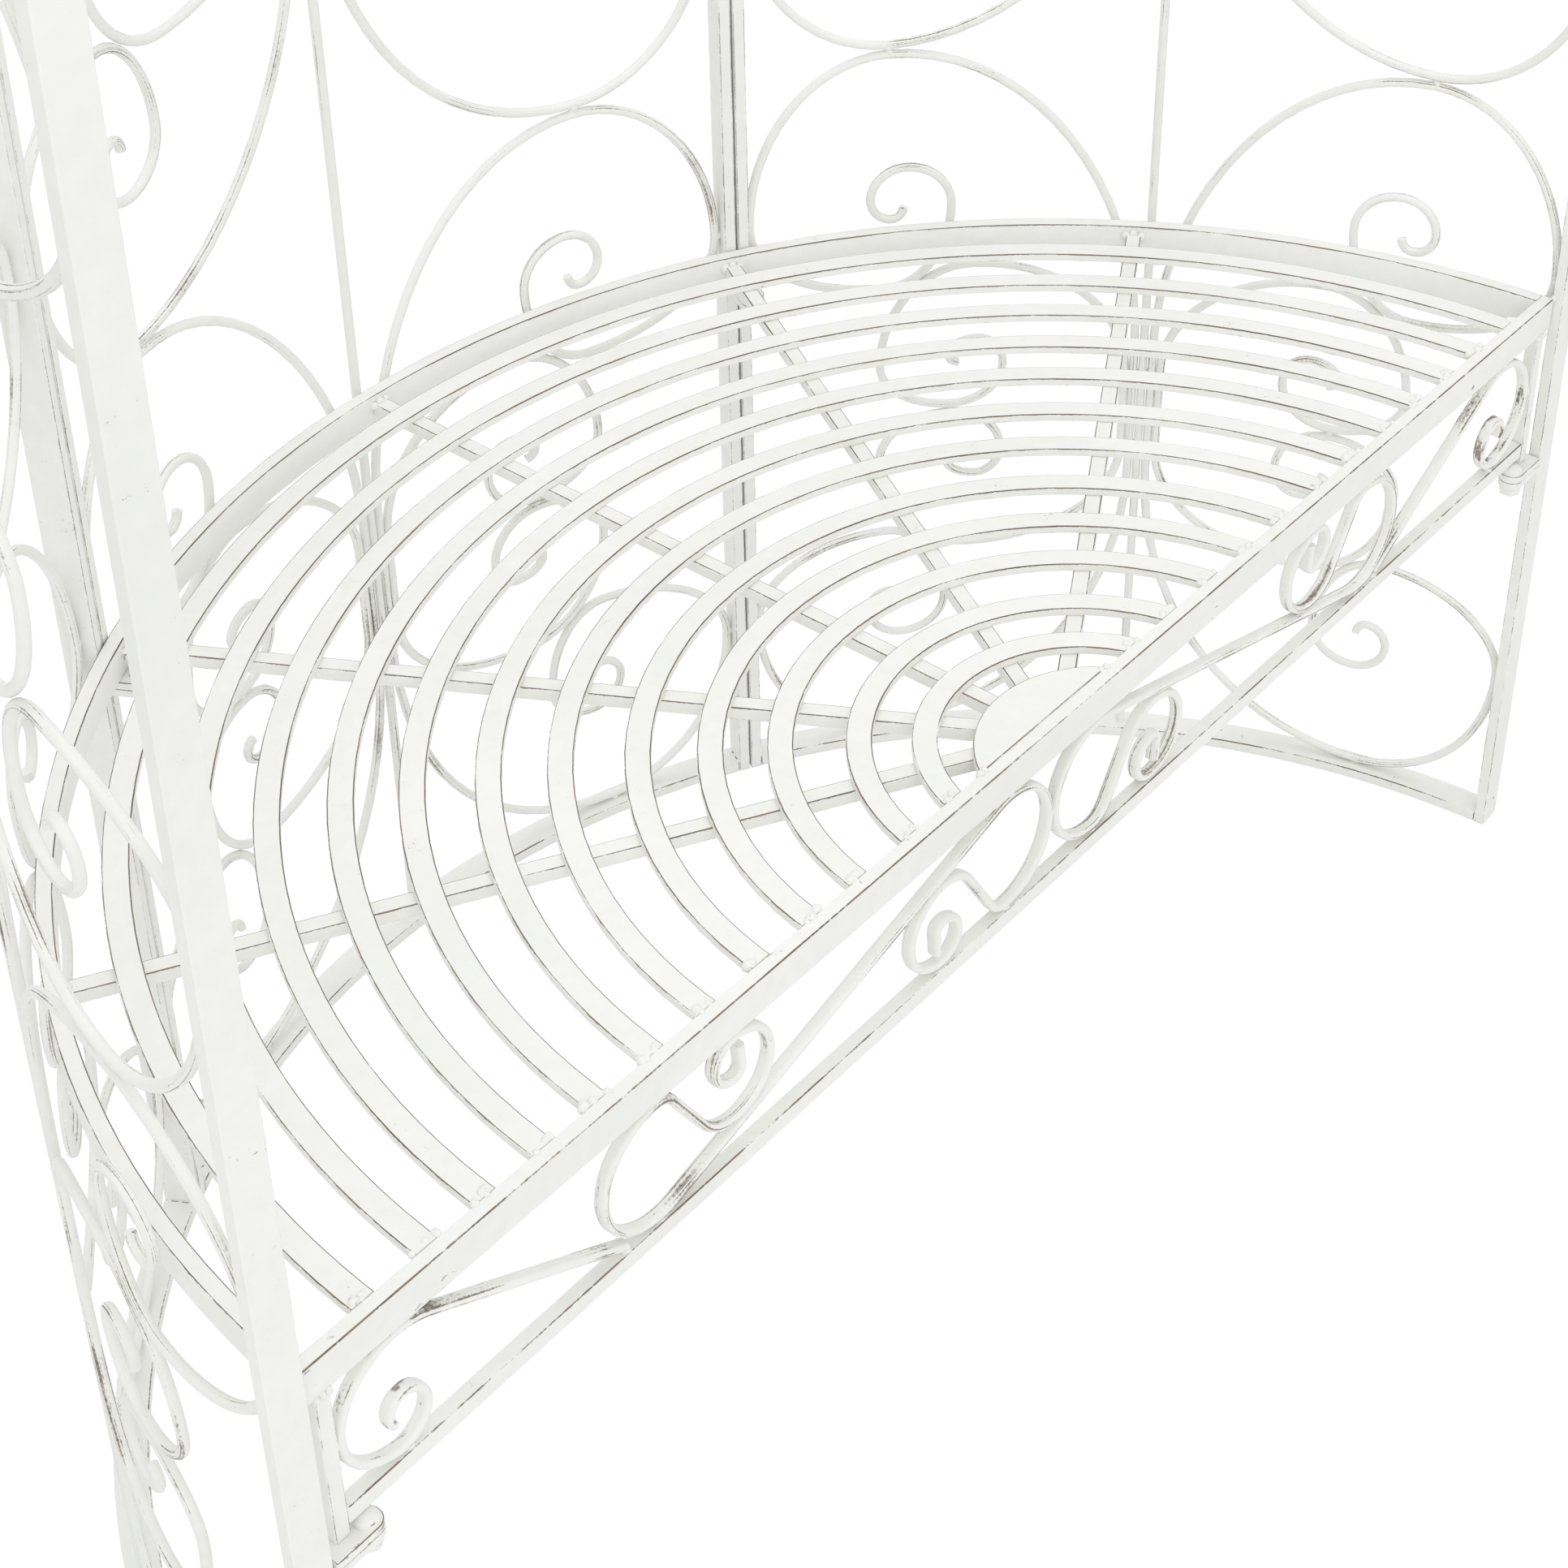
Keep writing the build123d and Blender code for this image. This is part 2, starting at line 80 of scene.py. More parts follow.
class Signal:
    """A value that changes over a surface. Arithmetic on it adds Math nodes."""

    def __init__(self, bench: "ShaderBench", socket: bpy.types.NodeSocket) -> None:
        """Wrap one output socket of a bench's node tree."""
        self.bench = bench
        self.socket = socket

    def _math(self, operation: str, first: "Number", second: "Number") -> "Signal":
        """Add one Math node.

        Args:
            operation: Name of the Math node's operation.
            first: Left value.
            second: Right value.

        Returns:
            The node's result.
        """
        return self.bench.signal("ShaderNodeMath", {"operation": operation}, {0: first, 1: second})

    def __add__(self, other: "Number") -> "Signal":
        """Sum of two values."""
        return self._math("ADD", self, other)

    def __radd__(self, other: "Number") -> "Signal":
        """Sum with a plain number on the left."""
        return self._math("ADD", other, self)

    def __sub__(self, other: "Number") -> "Signal":
        """Difference of two values."""
        return self._math("SUBTRACT", self, other)

    def __rsub__(self, other: "Number") -> "Signal":
        """Difference from a plain number on the left."""
        return self._math("SUBTRACT", other, self)

    def __mul__(self, other: "Number") -> "Signal":
        """Product of two values."""
        return self._math("MULTIPLY", self, other)

    def __rmul__(self, other: "Number") -> "Signal":
        """Product with a plain number on the left."""
        return self._math("MULTIPLY", other, self)

    def larger(self, other: "Number") -> "Signal":
        """Larger of two values."""
        return self._math("MAXIMUM", self, other)

    def rise(self, low: float, high: float) -> "Signal":
        """Smooth step from 0 at low to 1 at high.

        Args:
            low: Value that gives 0.
            high: Value that gives 1.

        Returns:
            The stepped value.
        """
        sockets = {"Value": self, "From Min": low, "From Max": high}
        return self.bench.signal("ShaderNodeMapRange", {"interpolation_type": "SMOOTHSTEP"}, sockets)


Number = Union[Signal, float]


class ShaderBench:
    """Node tree of one material or world, laid out by code.

    The Mix node's sockets for its share and its two colours go by number, as does the mixed colour.
    """

    noise_roughness: float = 0.55
    noise_middle: float = 0.5
    mix_sockets: tuple[int, int, int] = (0, 6, 7)
    mix_result: int = 2

    def __init__(self, owner: Union[bpy.types.Material, bpy.types.World]) -> None:
        """Start with an empty tree."""
        owner.use_nodes = True
        self.tree = owner.node_tree
        self.tree.nodes.clear()

    def node(self, kind: str, settings: dict[str, Any], sockets: Sockets) -> bpy.types.Node:
        """Add a node, set its settings first and then its sockets.

        Args:
            kind: Node type.
            settings: Properties of the node.
            sockets: Values, sockets or signals by input name or number.

        Returns:
            The new node.
        """
        node = self.tree.nodes.new(kind)
        for name, value in settings.items():
            setattr(node, name, value)
        for name, value in sockets.items():
            entry = node.inputs[name]
            if isinstance(value, Signal):
                self.tree.links.new(value.socket, entry)
            elif isinstance(value, bpy.types.NodeSocket):
                self.tree.links.new(value, entry)
            else:
                entry.default_value = value
        return node

    def signal(
        self, kind: str, settings: dict[str, Any], sockets: Sockets, output: Union[int, str] = 0
    ) -> Signal:
        """Add a node and wrap one of its outputs.

        Args:
            kind: Node type.
            settings: Properties of the node.
            sockets: Values, sockets or signals by input name or number.
            output: Name or number of the output.

        Returns:
            The wrapped output.
        """
        return Signal(self, self.node(kind, settings, sockets).outputs[output])

    def noise(self, place: bpy.types.NodeSocket, scale: float, detail: float) -> Signal:
        """Cloudy noise about 0, at a scale in cycles per metre."""
        sockets = {"Vector": place, "Scale": scale, "Detail": detail, "Roughness": self.noise_roughness}
        return self.signal("ShaderNodeTexNoise", {}, sockets, "Fac") - self.noise_middle

    def stretched(self, place: bpy.types.NodeSocket, scale: Point3) -> bpy.types.NodeSocket:
        """Coordinates stretched by a scale on each axis."""
        return self.node("ShaderNodeMapping", {}, {"Vector": place, "Scale": scale}).outputs["Vector"]

    def blend(self, share: Number, first: Any, second: Any) -> bpy.types.NodeSocket:
        """Mix two colours.

        Args:
            share: How much of the second colour shows.
            first: Colour or socket where the share is 0.
            second: Colour or socket where the share is 1.

        Returns:
            The mixed colour.
        """
        first = (*first, 1.0) if isinstance(first, tuple) else first
        second = (*second, 1.0) if isinstance(second, tuple) else second
        settings = {"data_type": "RGBA", "clamp_factor": True}
        sockets = dict(zip(self.mix_sockets, (share, first, second)))
        return self.node("ShaderNodeMix", settings, sockets).outputs[self.mix_result]

    def seen(self) -> Signal:
        """1 for what the camera, a reflection or a clear surface sees, 0 for what lights the object."""
        path = self.node("ShaderNodeLightPath", {}, {}).outputs
        rays = ("Is Camera Ray", "Is Glossy Ray", "Is Transmission Ray")
        camera, glossy, clear = (Signal(self, path[ray]) for ray in rays)
        return camera.larger(glossy).larger(clear)


@dataclass(frozen=True)
class WornPaint:
    """White paint over dark iron, rubbed through along the edges and in brushed streaks.

    Wear amounts are shifts of a threshold: a larger one shows more iron. Each span is the threshold's
    start and end, and each cover how much a layer hides what is under it. Each noise is its cycles per
    metre and its detail. Streaks are cycles per metre, around and along a rod or on a bar's three axes.
    """

    name: str
    stock: Stock
    paint: Colour = (0.862, 0.866, 0.836)
    tint: Colour = (0.806, 0.815, 0.774)
    rubbed: Colour = (0.25, 0.19, 0.142)
    worn: Colour = (0.046, 0.031, 0.021)
    edge_wear: float = 0.0
    edge_reach: float = 0.0013
    edge_span: Point2 = (0.54, 0.82)
    edge_cover: float = 0.96
    rub_wear: float = 0.0
    rub_span: Point2 = (0.27, 0.42)
    rub_cover: float = 0.85
    speck_wear: float = 0.0
    speck_span: Point2 = (0.285, 0.34)
    speck_cover: float = 0.45
    cloud_noise: Point2 = (5.0, 3.0)
    patch_noise: Point2 = (17.0, 2.0)
    ragged_noise: Point2 = (95.0, 3.0)
    grain_noise: Point2 = (620.0, 2.0)
    rod_streaks: Point3 = (560.0, 26.0, 1.0)
    rod_patches: Point3 = (90.0, 11.0, 1.0)
    bar_streaks: Point3 = (140.0, 140.0, 330.0)
    bump: float = 0.25
    bump_height: float = 0.0006
    shine: float = 0.32

    def make(self) -> bpy.types.Material:
        """Build the material."""
        material = bpy.data.materials.new(self.name)
        bench = ShaderBench(material)
        coordinates = bench.node("ShaderNodeTexCoord", {}, {}).outputs
        place = coordinates["Object"]
        cloud = bench.noise(place, *self.cloud_noise)
        patch = bench.noise(place, *self.patch_noise)
        ragged = bench.noise(place, *self.ragged_noise)
        grain = bench.noise(place, *self.grain_noise)
        line = self._edge_line(bench, patch, ragged, grain)
        rub = self._rubbing(bench, coordinates, patch, grain)
        speck = self._worn(grain + ragged * 0.5 + patch * 0.35, self.speck_span, self.speck_wear)
        tone = bench.blend((cloud * 1.6 + ragged * 0.7 + 0.5).rise(0.1, 0.9), self.paint, self.tint)
        brushed = bench.blend((grain * 2.4 + ragged + 0.4).rise(0.0, 1.0), self.rubbed, self.worn)
        tone = bench.blend(rub * self.rub_cover, tone, brushed)
        tone = bench.blend(speck * self.speck_cover, tone, self.rubbed)
        iron = bench.blend((ragged * 2.2 + grain + 0.45).rise(0.0, 1.0), self.worn, self.rubbed)
        tone = bench.blend(line * self.edge_cover, tone, iron)
        bare = line.larger(rub * 0.6)
        rough = 0.5 + ragged * 0.16 + bare * 0.14
        height = grain * 0.35 + ragged * 0.5 - bare * 0.6
        relief = {"Strength": self.bump, "Distance": self.bump_height, "Height": height}
        sockets = {
            "Base Color": tone,
            "Roughness": rough,
            "Normal": bench.node("ShaderNodeBump", {}, relief).outputs[0],
            "Specular IOR Level": self.shine,
        }
        shader = bench.node("ShaderNodeBsdfPrincipled", {}, sockets)
        bench.node("ShaderNodeOutputMaterial", {}, {"Surface": shader.outputs[0]})
        return material

    def _worn(self, value: Signal, span: Point2, wear: float) -> Signal:
        """Share of a layer that shows where a value passes its threshold, shifted by the wear."""
        return value.rise(span[0] - wear, span[1] - wear)

    def _edge_line(self, bench: ShaderBench, patch: Signal, ragged: Signal, grain: Signal) -> Signal:
        """Thin ragged line of bare iron along the edges, fullest on those that hands and feet rub.

        Args:
            bench: Tree to add to.
            patch: Broad noise that makes some stretches more worn.
            ragged: Noise that breaks the line.
            grain: Fine noise that frays it.

        Returns:
            1 where the iron shows.
        """
        flat = bench.node("ShaderNodeNewGeometry", {}, {}).outputs["True Normal"]
        rounded = bench.node("ShaderNodeBevel", {"samples": 6}, {"Radius": self.edge_reach}).outputs[0]
        settings = {"operation": "DOT_PRODUCT"}
        same = bench.signal("ShaderNodeVectorMath", settings, {0: flat, 1: rounded}, "Value")
        near = (1.0 - same) * 2.6
        corner = bench.signal("ShaderNodeAttribute", {"attribute_name": "corner"}, {}, "Fac")
        favour = bench.signal("ShaderNodeAttribute", {"attribute_name": "favour"}, {}, "Fac")
        edge = near.larger(corner * 0.85)
        wear = edge * (0.3 + favour * 0.7) + patch * 0.9 + ragged * 0.75 + grain * 0.5
        return self._worn(wear, self.edge_span, self.edge_wear) * edge.rise(0.1, 0.45)

    def _rubbing(self, bench: ShaderBench, coordinates: Any, patch: Signal, grain: Signal) -> Signal:
        """Brushed streaks of thinned paint that run along the bar.

        Args:
            bench: Tree to add to.
            coordinates: Outputs of the Texture Coordinate node.
            patch: Broad noise that gathers the streaks.
            grain: Fine noise that frays them.

        Returns:
            1 where the paint is rubbed thin.
        """
        gather = patch
        if self.stock is Stock.ROUND:
            fine = bench.stretched(coordinates["UV"], self.rod_streaks)
            broad = bench.stretched(coordinates["UV"], self.rod_patches)
            gather = patch + bench.noise(broad, 1.0, 1.0) * 1.2
        else:
            fine = bench.stretched(coordinates["Object"], self.bar_streaks)
        streak = bench.noise(fine, 1.0, 2.0)
        return self._worn(gather + streak * 0.9 + grain * 0.25, self.rub_span, self.rub_wear)


@dataclass(frozen=True)
class Finishes:
    """All paints of the gazebo, made once and shared by the pieces."""

    frame: bpy.types.Material
    scroll: bpy.types.Material
    seat: bpy.types.Material
    apron_bar: bpy.types.Material
    apron_scroll: bpy.types.Material
    roof: bpy.types.Material
    fastener: bpy.types.Material
    weld: bpy.types.Material

    @classmethod
    def make(cls) -> "Finishes":
        """Build every paint."""
        return cls(
            frame=WornPaint("worn_frame_paint", Stock.SQUARE, edge_wear=-0.06, rub_wear=-0.04).make(),
            scroll=WornPaint("worn_scroll_paint", Stock.ROUND, rub_wear=0.08).make(),
            seat=WornPaint("worn_seat_paint", Stock.SQUARE, edge_wear=0.2, rub_wear=-0.13).make(),
            apron_bar=WornPaint("worn_apron_paint", Stock.SQUARE, edge_wear=0.02).make(),
            apron_scroll=WornPaint("brushed_apron_paint", Stock.ROUND, rub_wear=0.15).make(),
            roof=WornPaint("worn_roof_paint", Stock.SQUARE, edge_wear=-0.02).make(),
            fastener=WornPaint("worn_fastener_paint", Stock.SQUARE, edge_wear=0.1, speck_wear=0.04).make(),
            weld=WornPaint("worn_weld_paint", Stock.SQUARE, rub_wear=0.08, speck_wear=0.08, bump=0.5).make(),
        )


@dataclass(frozen=True)
class Plan:
    """Sizes that several sub-assemblies share, in metres and degrees."""

    wall_radius: float = 0.550
    bar_width: float = 0.020
    bar_thickness: float = 0.008
    rod_radius: float = 0.003
    weld_gap: float = 0.0007
    panel_pitch: float = 58.4
    seam_gap: float = 0.0015
    tier_height: float = 0.563
    tier_count: int = 2
    eaves_height: float = 1.750
    seat_height: float = 0.446
    rim_height: float = 0.020
    rail_setback: float = 0.038
    rail_height: float = 0.0225
    low_rail_height: float = 0.011
    rail_thickness: float = 0.008
    lug_projection: float = 0.008
    lug_drop: float = 0.006
    apron_opening: float = 0.082
    edge_round: float = 0.0007

    @property
    def bar_middle(self) -> float:
        """Radius of the middle of the wall's bars."""
        return self.wall_radius + self.bar_width / 2

    @property
    def stile_angle(self) -> float:
        """Angle of a stile's middle from its panel's middle."""
        return self.panel_pitch / 2 - math.degrees((self.bar_thickness + self.seam_gap) / 2 / self.bar_middle)

    @property
    def front_angle(self) -> float:
        """Polar angle of the right front post."""
        return 90.0 - self.panel_pitch - self.stile_angle

    @property
    def panel_centres(self) -> dict[str, float]:
        """Polar angle of each panel's middle."""
        return {"right": 90.0 - self.panel_pitch, "back": 90.0, "left": 90.0 + self.panel_pitch}

    @property
    def seam_angles(self) -> Point2:
        """Polar angles of the two double posts."""
        return (90.0 - self.panel_pitch / 2, 90.0 + self.panel_pitch / 2)

    @property
    def waist_height(self) -> float:
        """Underside of the waist rail."""
        return self.bar_thickness + self.tier_count * self.tier_height

    @property
    def rail_front(self) -> float:
        """Distance of the bench's front face behind the plan centre."""
        return self.rail_setback - self.rail_thickness

    @property
    def rail_middle(self) -> float:
        """Distance of the front rails' middle behind the plan centre."""
        return self.rail_setback - self.rail_thickness / 2

    @property
    def upright_foot(self) -> float:
        """Height of the apron uprights' feet, where they stand on the front lugs."""
        return self.seat_height - self.rail_height - self.apron_opening - self.low_rail_height - self.lug_drop

    @property
    def rim_outer(self) -> float:
        """Outer radius of the seat's rim."""
        return self.wall_radius - self.weld_gap

    @property
    def front_edge(self) -> float:
        """Distance of the foremost edge behind the plan centre."""
        return self.rail_front - self.lug_projection

    @property
    def depth_middle(self) -> float:
        """Distance of the middle of the object's depth behind the plan centre."""
        return (self.front_edge + self.wall_radius + self.bar_width) / 2

    @property
    def rail_half(self) -> float:
        """Half length of the bench's front rail."""
        front = math.radians(self.front_angle)
        face = self.wall_radius * math.cos(front) - self.bar_thickness / 2 * math.sin(front)
        return face - self.weld_gap

    def at(self, x: float, y: float, z: float) -> Vector:
        """Point in the object's frame from a place about the plan centre."""
        return Vector((x, y - self.depth_middle, z))

    def polar(self, radius: float, angle: float, height: float) -> Vector:
        """Point in the object's frame from a radius, polar angle and height."""
        turn = math.radians(angle)
        return self.at(radius * math.cos(turn), radius * math.sin(turn), height)

    def about_centre(self, angle: float) -> Matrix:
        """Turn about the plan centre, from +X to a polar angle."""
        return Matrix.Translation(self.at(0.0, 0.0, 0.0)) @ Matrix.Rotation(math.radians(angle), 4, "Z")


class Forge:
    """Modelling operators used as workshop tools. A piece stays at the origin, with its place in its mesh.

    Each smooth angle, in degrees, is the turn below which faces of one kind of stock are shaded as one.
    """

    bar_smooth: float = 14.0
    rod_smooth: float = 50.0
    turned_smooth: float = 35.0
    bead_smooth: float = 80.0
    plate_sharp: float = 40.0
    edge_segments: int = 2
    rod_segments: int = 3
    side_corners: int = 4
    bead_facets: tuple[int, int] = (8, 6)
    bead_rough: float = 0.12
    bead_growth: Point2 = (0.8, 1.25)
    hand_seed: int = 20
    bead_seed: int = 3

    def __init__(self, plan: Plan) -> None:
        """Keep the plan and seed the hand that lays weld beads."""
        self.plan = plan
        self.hand = random.Random(self.hand_seed)

    def clear(self) -> None:
        """Let go of everything."""
        bpy.ops.object.select_all(action="DESELECT")

    @contextmanager
    def shaping(self, piece: bpy.types.Object) -> Iterator[None]:
        """Open a piece in edit mode with everything selected, and close it again."""
        bpy.context.view_layer.objects.active = piece
        bpy.ops.object.mode_set(mode="EDIT")
        bpy.ops.mesh.select_all(action="SELECT")
        yield
        bpy.ops.object.mode_set(mode="OBJECT")

    def place(self, piece: bpy.types.Object, matrix: Matrix) -> bpy.types.Object:
        """Move a piece to its place, and put the place into its mesh."""
        self.hold(piece)
        piece.matrix_world = matrix
        bpy.ops.object.transform_apply(location=True, rotation=True, scale=True)
        return piece

    def hold(self, *pieces: bpy.types.Object) -> None:
        """Select pieces and nothing else, the first one active."""
        self.clear()
        for piece in pieces:
            piece.select_set(True)
        bpy.context.view_layer.objects.active = pieces[0]

    def twin(self, piece: bpy.types.Object) -> bpy.types.Object:
        """Copy of a piece with its own mesh, in the same place."""
        twin = piece.copy()
        twin.data = piece.data.copy()
        bpy.context.scene.collection.objects.link(twin)
        return twin

    def copy(self, piece: bpy.types.Object, matrix: Matrix) -> bpy.types.Object:
        """Copy a piece with its own mesh, and move the copy.

        Args:
            piece: Piece to copy.
            matrix: Move from the piece to the copy.

        Returns:
            The copy.
        """
        twin = self.twin(piece)
        self.place(twin, matrix)
        if matrix.is_negative:
            with self.shaping(twin):
                bpy.ops.mesh.normals_make_consistent(inside=False)
        return twin

    def join(self, pieces: Sequence[bpy.types.Object]) -> bpy.types.Object:
        """Join pieces that are one node into one mesh."""
        self.hold(*pieces)
        if len(pieces) > 1:
            bpy.ops.object.join()
        return pieces[0]

    def smooth(self, piece: bpy.types.Object, angle: float) -> None:
        """Shade a piece smooth where its faces meet at less than an angle in degrees."""
        self.hold(piece)
        bpy.ops.object.shade_smooth_by_angle(angle=math.radians(angle))

    def mark_corners(self, piece: bpy.types.Object, width: float, toward: Callable[[Vector], Vector]) -> None:
        """Mark the narrow faces along the edges, where paint wears first, and the side that is rubbed most.

        Args:
            piece: Piece with rounded edges.
            width: Faces narrower than this are marked.
            toward: Direction from which the piece is rubbed, at a place on it.
        """
        mesh = piece.data
        corner = mesh.attributes.new("corner", "FLOAT", "FACE")
        for face in mesh.polygons:
            points = [mesh.vertices[index].co for index in face.vertices]
            longest = max((points[i] - points[i - 1]).length for i in range(len(points)))
            corner.data[face.index].value = 1.0 if face.area / longest < width else 0.0
        favour = mesh.attributes.new("favour", "FLOAT", "POINT")
        for vertex in mesh.vertices:
            facing = vertex.normal.dot(toward(vertex.co).normalized())
            favour.data[vertex.index].value = max(0.0, facing) ** 2

    def close(self, piece: bpy.types.Object) -> None:
        """Merge doubled points and turn every face outward."""
        with self.shaping(piece):
            bpy.ops.mesh.remove_doubles(threshold=MERGE)
            bpy.ops.mesh.select_all(action="SELECT")
            bpy.ops.mesh.normals_make_consistent(inside=False)

    def ease(self, piece: bpy.types.Object, angle: float) -> None:
        """Ease the sharp edges of a plate that is rubbed from above.

        Args:
            piece: Plate to ease.
            angle: Turn in degrees below which its faces are shaded as one.
        """
        bevel = piece.modifiers.new("ease", "BEVEL")
        bevel.width = self.plan.edge_round
        bevel.segments = self.edge_segments
        bevel.limit_method = "ANGLE"
        bevel.angle_limit = math.radians(self.plate_sharp)
        self.hold(piece)
        bpy.ops.object.modifier_apply(modifier=bevel.name)
        self.mark_corners(piece, self.plan.edge_round, lambda place: UP)
        self.smooth(piece, angle)

    def straight_bar(self, size: Point3, matrix: Matrix, toward: Point3) -> bpy.types.Object:
        """Flat bar with eased edges, from a cube.

        Args:
            size: Length along each axis.
            matrix: Place of the bar's middle.
            toward: Direction from which the bar is rubbed.

        Returns:
            The bar.
        """
        edge = self.plan.edge_round
        self.clear()
        bpy.ops.mesh.primitive_cube_add(size=1.0)
        bar = bpy.context.object
        bar.scale = size
        bpy.ops.object.transform_apply(scale=True)
        with self.shaping(bar):
            bpy.ops.mesh.bevel(offset=edge, segments=self.edge_segments, affect="EDGES")
        self.place(bar, matrix)
        self.mark_corners(bar, edge, lambda place: Vector(toward))
        return bar

    def spun_bar(
        self,
        radii: Point2,
        height: float,
        sweep: Point2,
        steps: int,
        cut: Optional[float] = None,
        leg: float = 0.0,
        lift: float = 1.0,
    ) -> bpy.types.Object:
        """Bar bent to an arc about the Z axis, standing on z = 0.

        Args:
            radii: Inner and outer radius.
            height: Size of the section along Z.
            sweep: First and last angle of the arc, in degrees.
            steps: Number of steps in the arc.
            cut: Distance of a plane across Y in front of which the bar is cut away.
            leg: Straight run added before the first angle.
            lift: How much the bar is rubbed from above, against 1 from the middle of the arc.

        Returns:
            The bar.
        """
        edge = self.plan.edge_round
        self.clear()
        bpy.ops.mesh.primitive_plane_add(size=1.0)
        bar = bpy.context.object
        section = Matrix.Diagonal((radii[1] - radii[0], height, 1.0, 1.0))
        stand = Matrix.Rotation(math.pi / 2, 4, "X") @ section
        out = Matrix.Translation(((radii[0] + radii[1]) / 2, 0.0, height / 2))
        self.place(bar, Matrix.Rotation(math.radians(sweep[0]), 4, "Z") @ out @ stand)
        with self.shaping(bar):
            bpy.ops.mesh.bevel(offset=edge, segments=self.edge_segments, affect="VERTICES")
            bpy.ops.mesh.select_all(action="SELECT")
            turn = math.radians(sweep[1] - sweep[0])
            bpy.ops.mesh.spin(steps=steps, angle=-turn, center=(0, 0, 0), axis=(0, 0, 1))
            bpy.ops.mesh.select_all(action="SELECT")
            bpy.ops.mesh.remove_doubles(threshold=MERGE)
            if cut is not None:
                bpy.ops.mesh.bisect(plane_co=(0, cut, 0), plane_no=(0, 1, 0), use_fill=True, clear_inner=True)
            bpy.ops.mesh.select_all(action="SELECT")
            bpy.ops.mesh.normals_make_consistent(inside=False)
        if leg:
            self.pull_end(bar, sweep[0], leg)
        self.mark_corners(bar, edge, lambda place: Vector((-place.x, -place.y, lift * place.xy.length)))
        self.smooth(bar, self.bar_smooth)
        return bar

    def pull_end(self, bar: bpy.types.Object, angle: float, leg: float) -> None:
        """Lengthen the first end of a spun bar by a straight run.

        Args:
            bar: Bar spun about the Z axis.
            angle: First angle of the arc, in degrees.
            leg: Length of the run.
        """
        turn = math.radians(angle)
        back = Vector((math.sin(turn), -math.cos(turn), 0.0))
        with self.shaping(bar):
            bpy.ops.mesh.select_mode(type="FACE")
            bpy.ops.mesh.select_all(action="DESELECT")
            bpy.ops.object.mode_set(mode="OBJECT")
            caps = [face for face in bar.data.polygons if len(face.vertices) > self.side_corners]
            end = max(caps, key=lambda face: face.normal.dot(back))
            end.select = True
            bpy.ops.object.mode_set(mode="EDIT")
            bpy.ops.mesh.extrude_region_move(TRANSFORM_OT_translate={"value": tuple(back * leg)})

    def wire(self, lines: Sequence[Sequence[Vector]]) -> bpy.types.Object:
        """Curve through the points of each line."""
        self.clear()
        bpy.ops.curve.primitive_bezier_curve_add()
        piece = bpy.context.object
        curve = piece.data
        curve.splines.clear()
        for points in lines:
            spline = curve.splines.new("POLY")
            spline.points.add(len(points) - 1)
            for knot, point in zip(spline.points, points):
                knot.co = (*point, 1.0)
        curve.dimensions = "3D"
        return piece

    def rod(
        self, lines: Sequence[Sequence[Vector]], radius: float, half_depth: float = 0.0
    ) -> bpy.types.Object:
        """Rod or flat bar with a round edge, bent along smooth lines.

        Args:
            lines: Points of each bent rod.
            radius: Radius of the rod, or half the thickness of the bar.
            half_depth: Half the width of the flat part, along Z.

        Returns:
            One mesh with all the rods, mapped in metres around and along them.
        """
        curve = self.wire(lines).data
        curve.twist_mode = "Z_UP" if half_depth else "MINIMUM"
        curve.fill_mode = "FULL"
        curve.bevel_depth = radius
        curve.extrude = half_depth
        curve.bevel_resolution = self.rod_segments
        curve.use_fill_caps = True
        bpy.ops.object.convert(target="MESH")
        piece = bpy.context.object
        around = 2 * math.pi * radius + 4 * half_depth
        length = sum((b - a).length for a, b in zip(lines[0], lines[0][1:]))
        for loop in piece.data.uv_layers[0].data:
            loop.uv = (loop.uv.x * around, loop.uv.y * length)
        self.close(piece)
        self.smooth(piece, self.rod_smooth)
        return piece

    def turned(self, outline: Sequence[Point2], steps: int) -> bpy.types.Object:
        """Round piece turned about the Z axis from an outline of radii and heights.

        Args:
            outline: Radius and height of each point, starting and ending on the axis.
            steps: Steps around.

        Returns:
            The turned piece.
        """
        self.wire([[Vector((radius, 0.0, height)) for radius, height in outline]])
        bpy.ops.object.convert(target="MESH")
        piece = bpy.context.object
        screw = piece.modifiers.new("turn", "SCREW")
        screw.steps = steps
        screw.render_steps = steps
        screw.use_merge_vertices = True
        screw.merge_threshold = MERGE
        bpy.ops.object.modifier_apply(modifier=screw.name)
        self.close(piece)
        self.smooth(piece, self.turned_smooth)
        return piece

    def weld_beads(self, spots: Sequence[Spot]) -> bpy.types.Object:
        """Weld beads at spots, each a lumpy drop copied from one.

        Args:
            spots: Middle and radius of each bead.

        Returns:
            One mesh with all the beads.
        """
        self.clear()
        around, rings = self.bead_facets
        bpy.ops.mesh.primitive_uv_sphere_add(segments=around, ring_count=rings, radius=1.0)
        drop = bpy.context.object
        with self.shaping(drop):
            bpy.ops.transform.vertex_random(offset=self.bead_rough, seed=self.bead_seed)
        beads = []
        for middle, radius in spots:
            turn = Matrix.Rotation(self.hand.uniform(0.0, math.tau), 4, self.hand.choice("XYZ"))
            grow = [radius * self.hand.uniform(*self.bead_growth) for _ in range(3)]
            twin = self.twin(drop)
            twin.matrix_world = Matrix.Translation(middle) @ turn @ Matrix.Diagonal((*grow, 1.0))
            beads.append(twin)
        self.hold(*beads)
        bpy.ops.object.transform_apply(location=True, rotation=True, scale=True)
        piece = self.join(beads)
        bpy.data.objects.remove(drop)
        self.smooth(piece, self.bead_smooth)
        return piece


